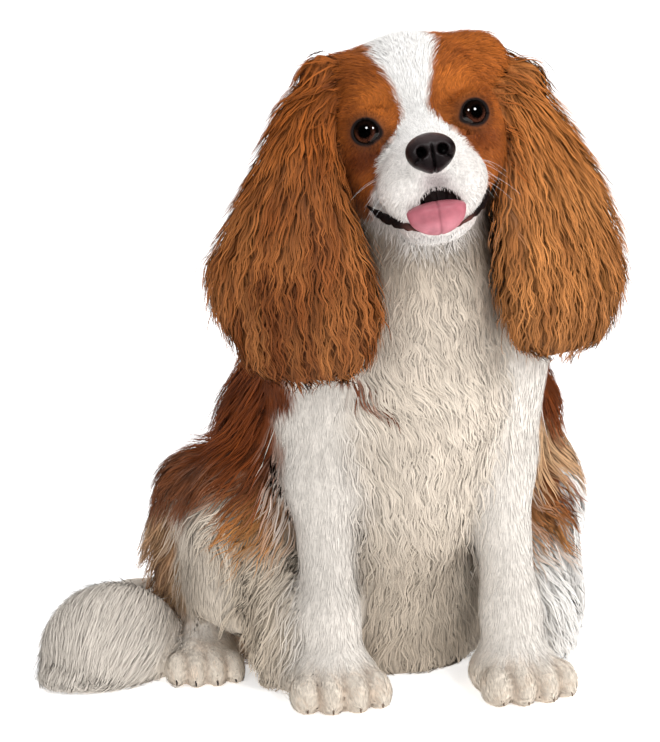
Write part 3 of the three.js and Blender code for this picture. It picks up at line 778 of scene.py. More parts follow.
def hind_leg_colour(p, pale, brown, ragged, cloud):
    """Brown hip, sandy rear edge, pale outer thigh, and a tan knee over pale feathering greyed by painted
    shade.
    """
    x, y, z = p[..., 0], p[..., 1], p[..., 2]
    out = np.abs(x)
    hip = ramp(z + ragged * 5 + 0.25 * (y + 3), 102, 110)
    rear = ramp(y - 0.5 * (z - 70) + ragged * 6, -26, -16)
    knee_line = np.where(x < 0, 104, 84)
    knee = ramp(-out + ragged * 4, -118, -108) * ramp(z + ragged * 9, knee_line - 10, knee_line + 8)
    knee_red = mix(brown, TAN, np.clip(0.75 - (z - knee_line) / 50, 0, 0.8))
    feather = fade(out + ragged * 4, 106, 116)
    # Painted shade greys the hair in and behind the knee's feathering; the left leg, towards the light, is
    # painted nearly white as painted light.
    shaded = mix(pale, mix(CREAM, GREY_WHITE, 0.6), np.clip(0.06 + 0.45 * feather + 0.2 * cloud, 0, 1))
    shaded = mix(shaded, WHITE, 0.8 * (x > 0))
    fringe = mix(brown, SAND, np.clip(0.75 + 0.4 * soft_noise(p * (1, 1, 0.4), 8, 17), 0, 1))
    colour = mix(mix(shaded, knee_red, knee), fringe, rear * (1 - hip))
    return mix(colour, mix(brown, SAND, np.where(x > 0, 0.7, 0.08)), hip * (1 - 0.6 * knee))


def paw_colour(p):
    """White, creamy near the floor, with tan flecks and painted shade in the furrows between the toes."""
    colour = mix(WHITE, mix(CREAM, WHITE, 0.4), fade(p[..., 2], 14, 44))
    colour = mix(colour, TAN, 0.16 * fade(np.abs(soft_noise(p, 9, 30)), 0.02, 0.2))
    # Painted shade darkens the furrows between the toes.
    return mix(colour, TOE_FURROW_SHADE, 0.4 * toe_furrows(p))


def markings(p):
    """The coat's colour at each point of the body."""
    p = np.asarray(p, np.float32)
    weights = part_weights(p)
    x, y, z = p[..., 0], p[..., 1], p[..., 2]
    out = np.abs(x)
    ragged = soft_noise(p, 22, 2) + 0.6 * soft_noise(p, 6, 14)
    fine = soft_noise(p, 5, 3)
    cloud = soft_noise(p, 18, 6)
    white = mix(WHITE, GREY_WHITE, np.clip(0.03 + 0.06 * fine, 0, 1))
    pale = mix(BODY_WHITE, GREY_WHITE, np.clip(0.08 + 0.1 * fine + 0.12 * cloud, 0, 1))
    brown = mix(BODY_BROWN, DEEP_BROWN, np.clip(0.45 + 0.4 * soft_noise(p, 14, 8) + 0.2 * fine, 0, 1))
    # The saddle reaches from behind the shoulders over the back and flanks, sandy behind the left foreleg
    saddle = np.maximum(ramp(y + ragged * 7, -70, -60), ramp(out + ragged * 3, 84, 90))
    saddle = saddle * ramp(z + ragged * 6, 96, 108) * fade(z, 262, 290)
    front_sand = ramp(x + ragged * 4, 76, 90) * fade(z + ragged * 8, 158, 176)
    saddle_red = mix(brown, SAND, 0.88 * front_sand * fade(y, -20, 20))
    # A narrow brown wedge runs from under the right ear onto the chest
    wedge = fade(from_line(p + ragged[..., None] * 1.2, (-60, -124, 218), (-31, -138, 194)), 1.0, 5.4)
    collar = np.maximum(ramp(y + ragged * 6, -52, -40), ramp(out + ragged * 4, 60, 68))
    under_chin = ramp(z, 262, 300) * (0.45 + 0.55 * ramp(out, 16, 44))
    throat = mix(pale, THROAT_SHADE, np.clip(0.2 + 0.8 * under_chin, 0, 1))
    # The right foreleg is painted darker above the paw as painted shade, on the side away from the light.
    foreleg = mix(pale, WHITE, 0.45) * np.where((x < 0) & (z > 60), 0.86, 1.0)[..., None]
    tail = 0.96 * mix(mix(pale, WHITE, 0.75), CREAM, 0.35)
    head = head_colour(p, white)
    paws = paw_colour(p)
    colours = {
        "head": head,
        "jaw": head,
        "ear": ear_colour(p),
        "neck": mix(throat, brown, collar),
        "torso": mix(mix(pale, saddle_red, saddle), brown, wedge),
        # The chest is painted greyer towards the bottom as painted shade between the forelegs.
        "chest": mix(mix(pale, GREY_WHITE, 0.5 * fade(z, 70, 150)), brown, wedge),
        "foreleg": mix(mix(foreleg, saddle_red, saddle), brown, wedge),
        "forepaw": paws,
        "hindpaw": paws,
        "thigh": hind_leg_colour(p, pale, brown, ragged, cloud),
        "tail": mix(tail, brown, ramp(x, -60, -30)),
    }
    parts = enumerate(PART_NAMES)
    return sum(colours[name.split("_")[0]] * weights[..., i, None] for i, name in parts).astype(np.float32)


def skin_colour(p):
    """The markings, with the dark rims of the lids and lips, and painted shadow inside the open mouth."""
    colour = markings(p)
    for side in SIDES:
        rim = fade(lid_opening(p, side), 0.2, 1.5)
        near = fade(length_of(eye_local(p, side)), 16, 18)
        colour = mix(colour, RIM_BLACK, rim * near)
    hollow = mouth_hollow(p)
    colour = mix(colour, LIP_DARK, fade(hollow, 1.2, 3.0))
    # Inside the open mouth the skin is painted near-black as painted shadow.
    return mix(colour, MOUTH_SHADOW, fade(hollow, -0.6, 0.4)).astype(np.float32)


# Materials


def fill(tree, made, **inputs):
    """Sets or links the named inputs of a node."""
    for key, value in inputs.items():
        socket = made.inputs[key.replace("_", " ")]
        if isinstance(value, bpy.types.NodeSocket):
            tree.links.new(value, socket)
        else:
            socket.default_value = value
    return made


def node(tree, kind, **inputs):
    return fill(tree, tree.nodes.new(kind), **inputs)


def new_material(name):
    material = bpy.data.materials.new(name)
    material.use_nodes = True
    tree = material.node_tree
    tree.nodes.clear()
    shader = tree.nodes.new("ShaderNodeBsdfPrincipled")
    out = tree.nodes.new("ShaderNodeOutputMaterial")
    tree.links.new(shader.outputs[0], out.inputs["Surface"])
    return material, tree, shader


def noise_of(tree, scale, detail=3.0, stretch=(1, 1, 1)):
    place = tree.nodes.new("ShaderNodeTexCoord")
    mapping = node(tree, "ShaderNodeMapping", Vector=place.outputs["Object"], Scale=stretch)
    noise = node(tree, "ShaderNodeTexNoise", Vector=mapping.outputs[0], Scale=scale, Detail=detail)
    return noise.outputs["Fac"]


def tone_of(tree, source, dark, light, low=0.3, high=0.7):
    """A value from dark to light where the source goes from low to high."""
    names = ("From Min", "From Max", "To Min", "To Max")
    made = node(tree, "ShaderNodeMapRange", Value=source)
    for key, value in zip(names, (low, high, dark, light)):
        made.inputs[key].default_value = value
    return made.outputs[0]


def grey_of(tree, tone):
    """A grey as light as the given value."""
    return node(tree, "ShaderNodeCombineColor", Red=tone, Green=tone, Blue=tone).outputs[0]


def bump_of(tree, height, strength, distance):
    return node(tree, "ShaderNodeBump", Height=height, Strength=strength, Distance=distance).outputs[0]


def tinted(tree, factor):
    """The painted colour of the mesh, made lighter and darker by a factor."""
    colour = tree.nodes.new("ShaderNodeAttribute")
    colour.attribute_name = "Coat"
    scaled = tree.nodes.new("ShaderNodeVectorMath")
    scaled.operation = "SCALE"
    tree.links.new(colour.outputs["Color"], scaled.inputs[0])
    tree.links.new(factor, scaled.inputs["Scale"])
    return scaled.outputs[0]


def coat_material(name, roughness, contrast):
    """Hair: painted colour, fine lengthwise streaks within each tuft, a soft silky gloss."""
    material, tree, shader = new_material(name)
    place = tree.nodes.new("ShaderNodeAttribute")
    place.attribute_name = "Grain"
    mapping = node(tree, "ShaderNodeMapping", Vector=place.outputs["Vector"], Scale=(5.0, 1.2, 300.0))
    hairs = node(tree, "ShaderNodeTexNoise", Vector=mapping.outputs[0], Scale=1.0, Detail=2.0).outputs["Fac"]
    colour = tinted(tree, tone_of(tree, hairs, 1 - contrast, 1 + contrast))
    bump = bump_of(tree, hairs, 0.35, 0.0006)
    fill(tree, shader, Base_Color=colour, Roughness=roughness, Specular_IOR_Level=0.16, Normal=bump)
    return material


def skin_material():
    """Short flat fur: painted colour, streaks and a fine bump."""
    material, tree, shader = new_material("short_fur")
    hairs = noise_of(tree, 900, 3, (1, 1, 0.3))
    colour = tinted(tree, tone_of(tree, hairs, 0.8, 1.15))
    bump = bump_of(tree, hairs, 0.5, 0.0006)
    fill(tree, shader, Base_Color=colour, Roughness=0.7, Specular_IOR_Level=0.25, Normal=bump)
    return material


def wet_material(name, roughness, coat, shine, grain, depth):
    """Moist bare skin with a fine pebbled grain over its painted colour."""
    material, tree, shader = new_material(name)
    place = tree.nodes.new("ShaderNodeTexCoord")
    pebbles = node(tree, "ShaderNodeTexVoronoi", Vector=place.outputs["Object"], Scale=grain)
    colour = tinted(tree, tone_of(tree, noise_of(tree, 150, 3), 0.85, 1.15))
    bump = bump_of(tree, pebbles.outputs["Distance"], 0.5, depth)
    fill(tree, shader, Base_Color=colour, Roughness=roughness, Specular_IOR_Level=shine, Normal=bump)
    fill(tree, shader, Coat_Weight=coat, Coat_Roughness=0.25)
    return material


def eye_material():
    """The painted iris and pupil under a clear wet cornea."""
    material, tree, shader = new_material("eye")
    colour = tinted(tree, tone_of(tree, noise_of(tree, 700, 2), 0.7, 1.35, 0.35, 0.65))
    fill(tree, shader, Base_Color=colour, Roughness=0.25, Specular_IOR_Level=0.0)
    fill(tree, shader, Coat_Weight=1.0, Coat_Roughness=0.01, Coat_IOR=1.65)
    return material


def whisker_material():
    """Pale stiff hair."""
    material, tree, shader = new_material("whisker")
    tone = tone_of(tree, noise_of(tree, 80), 0.75, 0.92)
    fill(tree, shader, Base_Color=grey_of(tree, tone), Roughness=0.4)
    return material


def floor_material():
    """Matt and nearly white, lit a little from within so that its shadows stay pale."""
    material, tree, shader = new_material("pale_floor")
    tone = tone_of(tree, noise_of(tree, 2), 0.93, 0.95)
    fill(tree, shader, Base_Color=grey_of(tree, tone), Roughness=0.9, Specular_IOR_Level=0.1)
    fill(tree, shader, Emission_Color=(1, 1, 1, 1), Emission_Strength=0.5)
    return material


# The skin


SKIN_BOX = ((-250, -205, -2), (165, 130, 432))
SKIN_STEP = 3.0
# The skin under the hair is painted a little darker than the hair, as painted shade under the coat
SKIN_SHADE = 0.94
FACE_PARTS = ("head", "jaw", "neck", "chest", "ear_left", "ear_right")
# The face's small forms are worked in before this plane and within this reach of the head's middle
FACE_BACK = -8
FACE_REACH = 125
# How far round the eyeball the lids open, and how deep their edges are tucked in behind it
LID_REACH = 5
LID_TUCK = 1.5


def body_skin():
    """One skin for the whole body, finer on the face."""
    low, high = np.array(SKIN_BOX)
    points, quads = surface_net(body_form, low, high, SKIN_STEP)
    corners = halved(points, quads)
    for level in (0, 1):
        points, corners = split_triangles(points, corners, on_face(points[corners].mean(1), level))
    q = to_head(points)
    face = (q[:, 1] < FACE_BACK) & (length_of(q) < FACE_REACH)
    points[face] = settle(lambda p: skin_form(p, FACE_PARTS), points[face], 4)
    points[~face] = settle(body_form, points[~face], 2)
    points[face] = open_lids(points[face])
    points[:, 2] = np.maximum(points[:, 2], FLOOR_GAP)
    piece = new_object("skin", points, corners)
    paint(piece, "Coat", skin_colour(points) * SKIN_SHADE)
    return piece


def on_face(p, level):
    """The points on the head's front, or at the finer level only those round the eyes and the mouth."""
    q = to_head(p)
    front = q[:, 1] < -12
    if level == 0:
        return front & (np.abs(q[:, 0]) < 56) & (q[:, 2] > -76) & (q[:, 2] < 40)
    eyes = from_eyes(p) < 21
    mouth = np.abs(mouth_hollow(p)) < 7
    return (eyes | mouth) & front


def open_lids(p):
    """Draws the skin in behind the eyeball within the opening of the lids."""
    for side in SIDES:
        centre = from_head((side * EX, EY, EZ))
        away = length_of(p - centre)
        within = ramp(-lid_opening(p, side), -0.1, 0.8) * (away < EYE_RADIUS + LID_REACH)
        drawn = away + (EYE_RADIUS - LID_TUCK - away) * within
        p = centre + (p - centre) * (drawn / away)[:, None]
    return p


def halved(points, quads):
    """Each quad as two triangles, parted along its shorter diagonal."""
    a, b, c, d = quads.T
    short = length_of(points[a] - points[c]) < length_of(points[b] - points[d])
    first = np.where(short[:, None], np.stack([a, b, c], -1), np.stack([a, b, d], -1))
    second = np.where(short[:, None], np.stack([a, c, d], -1), np.stack([b, c, d], -1))
    return np.concatenate([first, second])


def split_triangles(points, corners, chosen):
    """Splits the chosen triangles in four, and their neighbours in two or three to match."""
    sides = np.sort(np.stack([corners, np.roll(corners, -1, 1)], -1).reshape(-1, 2), 1)
    edges, edge_of = np.unique(sides, axis=0, return_inverse=True)
    edge_of = edge_of.reshape(-1, 3)
    cut = np.zeros(len(edges), bool)
    cut[edge_of[chosen]] = True
    middle = np.where(cut, np.cumsum(cut) - 1 + len(points), -1)[edge_of]
    points = np.concatenate([points, points[edges[cut]].mean(1)])
    count = (middle >= 0).sum(1)
    made = [corners[count == 0]]
    for k in range(3):
        a, b, c = (np.roll(corners, -k, 1)).T
        ab, bc, ca = (np.roll(middle, -k, 1)).T
        one = (count == 1) & (ab >= 0)
        made += [np.stack(t, -1)[one] for t in ((a, ab, c), (ab, b, c))]
        two = (count == 2) & (ab < 0)
        made += [np.stack(t, -1)[two] for t in ((a, b, bc), (a, bc, ca), (ca, bc, c))]
        made.append(np.stack((a, ab, ca), -1)[count == 3])
    made.append(middle[count == 3])
    return points, np.concatenate(made)


# The coat


class SkinArea:
    """The skin's triangles, with their areas and the parts that they belong to."""

    def __init__(self, piece):
        mesh = piece.data
        mesh.calc_loop_triangles()
        tri = np.empty(len(mesh.loop_triangles) * 3, np.int32)
        mesh.loop_triangles.foreach_get("vertices", tri)
        self.corner = points_of(piece)[tri.reshape(-1, 3)]
        a, b, c = self.corner.transpose(1, 0, 2)
        self.area = length_of(np.cross(b - a, c - a)) / 2
        self.middle = self.corner.mean(1)
        self.weights = part_weights(self.middle)
        self.bare = face_bare(self.middle) * (self.middle[:, 2] > 1.5)

    def sample(self, rng, density, parts, where=None):
        """Random places on the named parts, about density of them in a square centimetre."""
        share = sum(self.weights[:, PART_NAMES.index(name)] for name in parts)
        weight = np.where(share < 0.12, 0, share) * self.area * self.bare
        if where:
            weight = weight * where(self.middle)
        count = int(weight.sum() / 100 * density)
        chosen = rng.choice(len(weight), count, p=weight / weight.sum())
        u, v = rng.random((2, count))
        fold = u + v > 1
        u[fold], v[fold] = 1 - u[fold], 1 - v[fold]
        a, b, c = self.corner[chosen].transpose(1, 0, 2)
        return (a + (b - a) * u[:, None] + (c - a) * v[:, None]).astype(np.float32)


def cells_of(roots, size, rng):
    """Gathers roots into clumps: size is their width and their height."""
    wide, high = size
    jitter = roots + rng.normal(0, wide * 0.2, roots.shape)
    cells = np.floor(jitter / np.array((wide, wide, high))).astype(int)
    _, clump = np.unique(cells, axis=0, return_inverse=True)
    return clump.ravel()


# A tuft whose skin turns away by more than this along it would cross a crease, and is left out
FOLD_LIMIT = 0.35
# The thickness of a tuft as a share of its width
TUFT_THICKNESS = 0.22
# How deep a tuft stands in the skin, and how far above it the tuft runs at least
ROOT_DEPTH = 0.6
LEAST_HEIGHT = 0.3
LOWEST_FACING = -0.2
# The skin is read this far round a tuft for its facing, so that small folds do not break the shading
SHADING_REACH = 2.4
SOFT_SHADING = 0.85
# The side of a tuft's patch on the bake map
TUFT_PATCH = 0.003
# A tuft's width along it, and where its painted shades fall: painted shade at the root, deep in the coat,
# painted light at the tip
TAPER = ((0, 0.25, 0.7, 1), (0.7, 1, 0.7, 0.08))
SHADE_PLACES = (0, 0.4, 1)
# How much clumps differ in the length and the depth of their waves, and how much higher a loose tuft rises
WAVE_SPREAD = (0.75, 1.35)
SWING_SPREAD = (0.6, 1.4)
LOOSE_RISE = (1.3, 2.4)


def grow(roots, lie, length, stations, rng, form, lift=0.1, droop=0.0, cling=0.8, gather=0.5,
         clump_size=(7, 12), wave=0.0, wave_length=16.0, floor=0.6, stray=0.1, loose=0.15):  # fmt: skip
    """Paths of tufts along the lie: they rise off the skin by lift, gather into locks and wave."""
    cling = cling(roots) if callable(cling) else cling
    lift = lift(roots) if callable(lift) else lift
    normal = outward(form, roots, SHADING_REACH)
    clump = cells_of(roots, clump_size, rng)
    groups = clump.max() + 1
    heading = unit(lie) + rng.normal(0, stray, roots.shape) + rng.normal(0, stray, (groups, 3))[clump]
    phase = rng.normal(0, 1.1, groups)[clump] - roots[:, 2] * 2 * math.pi / wave_length
    phase = phase + rng.normal(0, 0.25, len(roots)) + 3 * soft_noise(roots, 30, 21)
    wave = wave(roots) if callable(wave) else wave
    wave_length = wave_length * rng.uniform(*WAVE_SPREAD, groups)[clump]
    swing = wave * rng.uniform(*SWING_SPREAD, groups)[clump]
    is_loose = rng.random(len(roots)) < loose
    rise = lift * length * np.where(is_loose, rng.uniform(*LOOSE_RISE, len(roots)), 1)
    step = (length / stations)[:, None]
    p = roots.astype(np.float64)
    paths, normals = [roots - normal * ROOT_DEPTH], [normal]
    for k in range(1, stations + 1):
        t = k / stations
        flat = heading - normal * np.einsum("ij,ij->i", heading, normal)[:, None]
        p = p + unit(unit(flat) + np.array((0, 0, -1)) * droop * t) * step
        d = form(p.astype(np.float32))
        normal = outward(form, p.astype(np.float32), SHADING_REACH)
        wanted = LEAST_HEIGHT + rise * t
        pull = np.where(d < wanted, wanted - d, (wanted - d) * cling)
        p = p + normal * pull[:, None]
        paths.append(p.copy())
        normals.append(normal)
    paths, normals = np.stack(paths, 1), np.stack(normals, 1)
    along = unit(paths[:, -1] - paths[:, 0])
    t = np.linspace(0, 1, stations + 1)[None, :, None]
    if gather > 0:
        total = np.zeros((groups, stations + 1, 3))
        np.add.at(total, clump, paths)
        mean = total / np.bincount(clump, minlength=groups)[:, None, None]
        pull = mean[clump] - paths
        pull = pull - along[:, None] * np.einsum("ijk,ik->ij", pull, along)[..., None]
        paths = paths + pull * gather * t**1.2
    across = unit(np.cross(along[:, None], normals))
    ripple = np.sin(phase[:, None, None] + 2 * math.pi * (length / wave_length)[:, None, None] * t)
    ripple = ripple - np.sin(phase)[:, None, None]
    paths = paths + across * ripple * swing[:, None, None] * np.minimum(3 * t, 1)
    paths[:, :, 2] = np.maximum(paths[:, :, 2], floor)
    kept = np.einsum("ij,ij->i", normals[:, 0], normals[:, -1]) > FOLD_LIMIT
    return paths[kept].astype(np.float32), normals[kept], clump[kept], kept


def tuft_mesh(name, paths, normals, width, colours, uv, painted_shades, rng):
    """Flat three-sided tapered tufts along the paths, joined in one mesh and shaded like the skin below."""
    count, rows, _ = paths.shape
    tangent = unit(np.gradient(paths, axis=1))
    side = unit(np.cross(tangent, normals))
    over = np.cross(side, tangent)
    t = np.linspace(0, 1, rows)[None, :, None]
    half = width[:, None, None] / 2 * np.interp(t, *TAPER)
    ring = np.stack([side, over * TUFT_THICKNESS, -side], 2)
    body = (paths[:, :, None] + ring * half[:, :, None])[:, :-1].reshape(count, (rows - 1) * 3, 3)
    points = np.concatenate([body, paths[:, -1:]], 1)
    soft = normals.copy()
    soft[..., 2] = np.maximum(soft[..., 2], LOWEST_FACING)
    facing = unit(soft[:, :, None] * SOFT_SHADING + unit(ring) * (1 - SOFT_SHADING))
    facing = np.concatenate([facing[:, :-1].reshape(count, (rows - 1) * 3, 3), normals[:, -1:]], 1)
    per = (rows - 1) * 3 + 1
    faces = [(0, 1, 2)]
    for r in range(rows - 2):
        for j in range(3):
            a, b = r * 3 + j, r * 3 + (j + 1) % 3
            faces += [(a, a + 3, b + 3), (a, b + 3, b)]
    last = (rows - 2) * 3
    faces += [(last + j, per - 1, last + (j + 1) % 3) for j in range(3)]
    faces = (np.array(faces)[None] + np.arange(count)[:, None, None] * per).reshape(-1, 3)
    piece = new_object(name, points.reshape(-1, 3), faces)
    piece.data.normals_split_custom_set_from_vertices(facing.reshape(-1, 3).tolist())
    along = np.concatenate([np.repeat(np.linspace(0, 1, rows)[:-1], 3), [1.0]])
    cross = np.concatenate([np.tile((0, 0.5, 1), rows - 1), [0.5]])
    # Painted shade darkens each tuft towards its root, and painted light brightens its tip.
    tint = colours[:, None, :] * np.interp(along, SHADE_PLACES, painted_shades)[None, :, None]
    paint(piece, "Coat", tint.reshape(-1, 3))
    grain = np.empty((count, per, 3), np.float32)
    grain[..., 0] = cross
    grain[..., 1] = along
    grain[..., 2] = rng.random(count)[:, None]
    paint(piece, "Grain", grain.reshape(-1, 3))
    patch = TUFT_PATCH * np.stack([cross, along], -1)
    map_points(piece, (uv[:, None, :] + patch[None]).reshape(-1, 2))
    return piece


def unwrap(roots, start, end):
    """A place from 0 to 1 for each root, round and along the line from start to end."""
    start, end = np.array(start, float), np.array(end, float)
    axis = unit(end - start)
    flat = unit(np.cross(axis, (0.31, 0.95, 0.02)))
    other = np.cross(axis, flat)
    q = roots - start
    round_ = np.arctan2(q @ other, q @ flat) / (2 * math.pi) + 0.5
    along = (q @ axis) / np.linalg.norm(end - start)
    return np.stack([round_ * 0.99, np.clip(along * 0.8 + 0.1, 0, 0.99)], -1)


# Which way the coat lies


def nearest_on(route, p):
    """The tangent of a bent line at its point nearest to each p."""
    best = np.full(p.shape[:-1], np.inf)
    tangent = np.zeros(p.shape, np.float32)
    for a, b in zip(route[:-1], route[1:]):
        a, b = np.array(a, np.float32), np.array(b, np.float32)
        t = np.clip((p - a) @ (b - a) / ((b - a) @ (b - a)), 0, 1)
        away = length_of(p - a - t[..., None] * (b - a))
        closer = away < best
        best = np.where(closer, away, best)
        tangent = np.where(closer[..., None], (b - a) / np.linalg.norm(b - a), tangent)
    return tangent


def ear_lie(p, side):
    """Down the ear, spreading a little towards its edges."""
    stations = EAR_STATIONS[side][::-1]
    route = np.array([at for at, _, _ in stations], float)
    middle = np.stack([np.interp(p[..., 2], route[:, 2], row) for row in route.T], -1)
    wide = np.interp(p[..., 2], route[:, 2], [width for _, width, _ in stations])
    across = ear_axes(side)[0]
    spread = ((p - middle) @ across / wide)[..., None] * across
    low = np.interp(p[..., 2], (240, 330), (-0.12, 0.42))[..., None]
    return unit(nearest_on(route[::-1], p) + spread * low)


def head_lie(p):
    """Back from the nose over the forehead, back and down over the cheeks, and away from each eye."""
    q = to_head(p)
    away = unit(q - np.array((0, -92, -24)))
    droop = ramp(np.abs(q[..., 0]), 14, 44)[..., None] * np.array((0, 0.1, -0.9))
    under = ramp(-q[..., 2], 40, 64)[..., None] * np.array((0, 0.4, -0.5))
    sweep = np.sign(q[..., 0]) * ramp(q[..., 2], 8, 40) * ramp(np.abs(q[..., 0]), 6, 16)
    way = away + droop + under + sweep[..., None] * np.array((0.6, 0, 0))
    for side in SIDES:
        from_eye = q - np.array((side * EX, EY, EZ))
        near = fade(length_of(from_eye), 13, 24)
        way = mix(unit(way), unit(from_eye * (1, 0.4, 1)), near)
    return way @ HEAD_AXES.T


def constant(direction):
    return lambda p: np.broadcast_to(unit(np.array(direction, np.float64)), p.shape)


def chest_lie(p):
    """Down the chest and to the dog's left, in slow swirls; away from the middle at the throat and belly."""
    x, z = p[..., 0], p[..., 2]
    swirl = soft_noise(p, 26, 12) * 0.45
    middle = ramp(z, 110, 150) * fade(z, 225, 262)
    slant = 0.4 - 0.003 * x
    aside = x * 0.008 * (1 - middle) + slant * middle
    return unit(np.stack([aside + swirl, np.full(x.shape, -0.12), np.full(x.shape, -1.0)], -1))


def torso_lie(p):
    """Down and back over the body, flaring out towards the hips."""
    flare = ramp(np.abs(p[..., 0]), 70, 105) * fade(p[..., 2], 190, 230)
    return unit(np.stack([np.sign(p[..., 0]) * 0.55 * flare, 0.45 - 0.3 * flare, 0 * flare - 0.9], -1))


def rear_fringe(p):
    """One on the rear edge of the thigh, below the hip."""
    return ramp(p[..., 1] - 0.5 * (p[..., 2] - 70), -24, -8) * fade(p[..., 2], 88, 106)


def hip_corner(p):
    """One on the outer corner of the right hip, where the coat stands out most."""
    return ramp(-p[..., 0], 112, 130) * ramp(p[..., 2], 98, 112)


def thigh_lie(side):
    """Down and forward over the thigh, then outward and down in long curves from the knee."""

    def lie(p):
        knee = fade(p[..., 1], -46, -8) * fade(side * p[..., 0], 110, 122)
        out = ramp(-p[..., 2], -150, -40)
        flat = np.array((0, -0.3, -1.0))
        curved = np.stack([side * (0.95 - 0.5 * out), 0 * out, -0.55 - 0.4 * out], -1)
        way = mix(np.broadcast_to(flat, p.shape), curved, knee * 0.9)
        hip = ramp(p[..., 2], 104, 122) * ramp(side * p[..., 0], 100, 124)
        way = mix(way, np.array((side * 1.0, 0.15, -0.1 if side == RIGHT else -1.0)), 0.9 * hip)
        return unit(mix(way, np.array((side * 0.95, 0.2, -0.6)), 0.9 * rear_fringe(p)))

    return lie


def paw_lie(x, y):
    return lambda p: unit(p - np.array((x, y + 26, 44)))


def tail_lie(p):
    """Along the tail, then fanning out of its bend and falling to the tip."""
    fan = unit(p - np.array((-128, 52, 52))) + np.array((0, -0.25, -0.25))
    return unit(mix(nearest_on(TAIL_ROUTE, p), fan, ramp(-p[..., 0], 90, 150)))


LIES = {
    "head": head_lie,
    "jaw": head_lie,
    "neck": chest_lie,
    "torso": torso_lie,
    "chest": chest_lie,
    "foreleg_left": constant((0, 0.12, -1)),
    "foreleg_right": constant((0, 0.12, -1)),
    "ear_left": lambda p: ear_lie(p, LEFT),
    "ear_right": lambda p: ear_lie(p, RIGHT),
    "tail": tail_lie,
}
for side in SIDES:
    fore, hind = paw_places(side)
    LIES["forepaw_" + LABELS[side]] = paw_lie(*fore[:2])
    LIES["hindpaw_" + LABELS[side]] = paw_lie(*hind[:2])
    LIES["thigh_" + LABELS[side]] = thigh_lie(side)


def lie_of(p):
    """The way the hair points at each place, passing smoothly from part to part."""
    w = part_weights(p)
    return unit(sum(LIES[name](p) * w[..., i, None] for i, name in enumerate(PART_NAMES)))


# Bare features of the face

nose_body = blend(
    5,
    egg((-0.6, -84, -14.5), (12.4, 11, 8.5)),
    egg((6.2, -86, -18.5), (6.6, 9, 7.6)),
    egg((-7.2, -86, -18.5), (6.6, 9, 7.6)),
    egg((0, -85, -23.5), (7, 9, 6.5)),
)


def nostril_slit(q, side):
    """The distance, seen from the front, from the slit that curls out and up from a nostril."""
    line = [(5.6, -16.5), (7.6, -20.6), (12, -22.2), (15.5, -20.4)]
    seen = np.stack([side * q[..., 0], q[..., 2]], -1)
    return np.min([from_line(seen, a, b) for a, b in zip(line[:-1], line[1:])], 0)


def nose_form(q):
    """The nose in the head's frame, with comma-shaped nostrils, their rims and the groove between them."""
    d = nose_body(q)
    front = ramp(-q[..., 1], 80, 88)
    for side in SIDES:
        wing = length_of((q - (side * 10.6, -90, -16.6)) / (5.2, 9, 5))
        d = d - 2.0 * peak(wing, 0, 1) * front
        slit = peak(nostril_slit(q, side), 0, 1.25) * fade(np.abs(q[..., 0]), 8.5, 12)
        d = d + 2.4 * slit * front
        hole = limb((side * 5.6, -99, -16.4), 3.7, (side * 6.8, -88, -17.4), 2.5)(q)
        d = smooth_max(d, -hole, 2.0)
    groove = peak(q[..., 0], 0, 0.8) * ramp(-q[..., 2], 11, 17)
    return d + 2 * groove * front


def nose_tone(q):
    """Painted reflection of the top light on the dome, and painted shade darkest in the nostrils, their
    slits and the groove.
    """
    # Painted reflection: the dome is painted lighter where the top light shines on it.
    dome = ramp(q[..., 2], -15, -7)
    colour = mix(srgb("201718"), srgb("4A3E3E"), 0.85 * dome + 0.15 * soft_noise(q, 3, 2))
    # Painted shade in the groove, and below in the nostrils and their slits.
    dark = peak(q[..., 0], 0, 0.9) * ramp(-q[..., 2], 11, 17)
    for side in SIDES:
        hole = length_of(q[..., (0, 2)] - np.array((side * 5.7, -16.6)))
        dark = np.maximum(dark, fade(hole, 2, 3.6))
        dark = np.maximum(dark, peak(nostril_slit(q, side), 0, 1.3))
    return mix(colour, srgb("0A0606"), dark * ramp(-q[..., 1], 80, 86))


def tongue_form(q):
    """A broad tongue, flat on top, that bends down over the lower lip."""
    back = egg((-2, -56, -50.5), (16, 24, 4.5), 10)(q)
    height = np.where(q[..., 2] < -50.5, 15.0, 5.0)
    radii = np.stack([np.full(height.shape, 17.6), np.full(height.shape, 10.0), height], -1)
    lap = (q - (-2, -76, -50.5)) / radii
    near = length_of(lap)
    front = near * (near - 1) / np.maximum(length_of(lap / radii), 1e-6)
    line = peak(q[..., 0], -1.6, 0.6) * ramp(-q[..., 1], 56, 66)
    return smooth_min(back, front, 6) + 0.5 * line


def tongue_tone(q):
    """Rose pink, with painted shade deeper in the mouth and along the groove of the middle line."""
    # Painted shade towards the back of the mouth and in the groove along the middle.
    deep = 0.55 * ramp(q[..., 1], -84, -62) + 0.45 * peak(q[..., 0], -1.6, 0.7)
    pale = ramp(-q[..., 2], 54, 63)
    colour = mix(srgb("AC5F6A"), srgb("C27A84"), np.clip(pale + 0.25 * soft_noise(q, 4, 3), 0, 1))
    return mix(colour, srgb("7E3A46"), np.clip(deep, 0, 0.9))


def head_piece(name, form, tone, low, high, step):
    """A fine mesh of one feature of the face, painted by its own tone."""
    points, quads = surface_net(form, np.array(low), np.array(high), step)
    points = settle(form, points, 3)
    piece = new_object(name, from_head(points), quads)
    paint(piece, "Coat", tone(points))
    return piece


def paint_even(piece, code):
    """One colour, a little clouded, over a whole small piece."""
    paint(piece, "Coat", srgb(code) * (1 + 0.25 * soft_noise(points_of(piece), 2, 5))[:, None])
    return piece


def joined(pieces):
    """The pieces as one object, under the first one's name."""
    bpy.ops.object.select_all(action="DESELECT")
    for piece in pieces:
        piece.select_set(True)
    bpy.context.view_layer.objects.active = pieces[0]
    bpy.ops.object.join()
    return pieces[0]


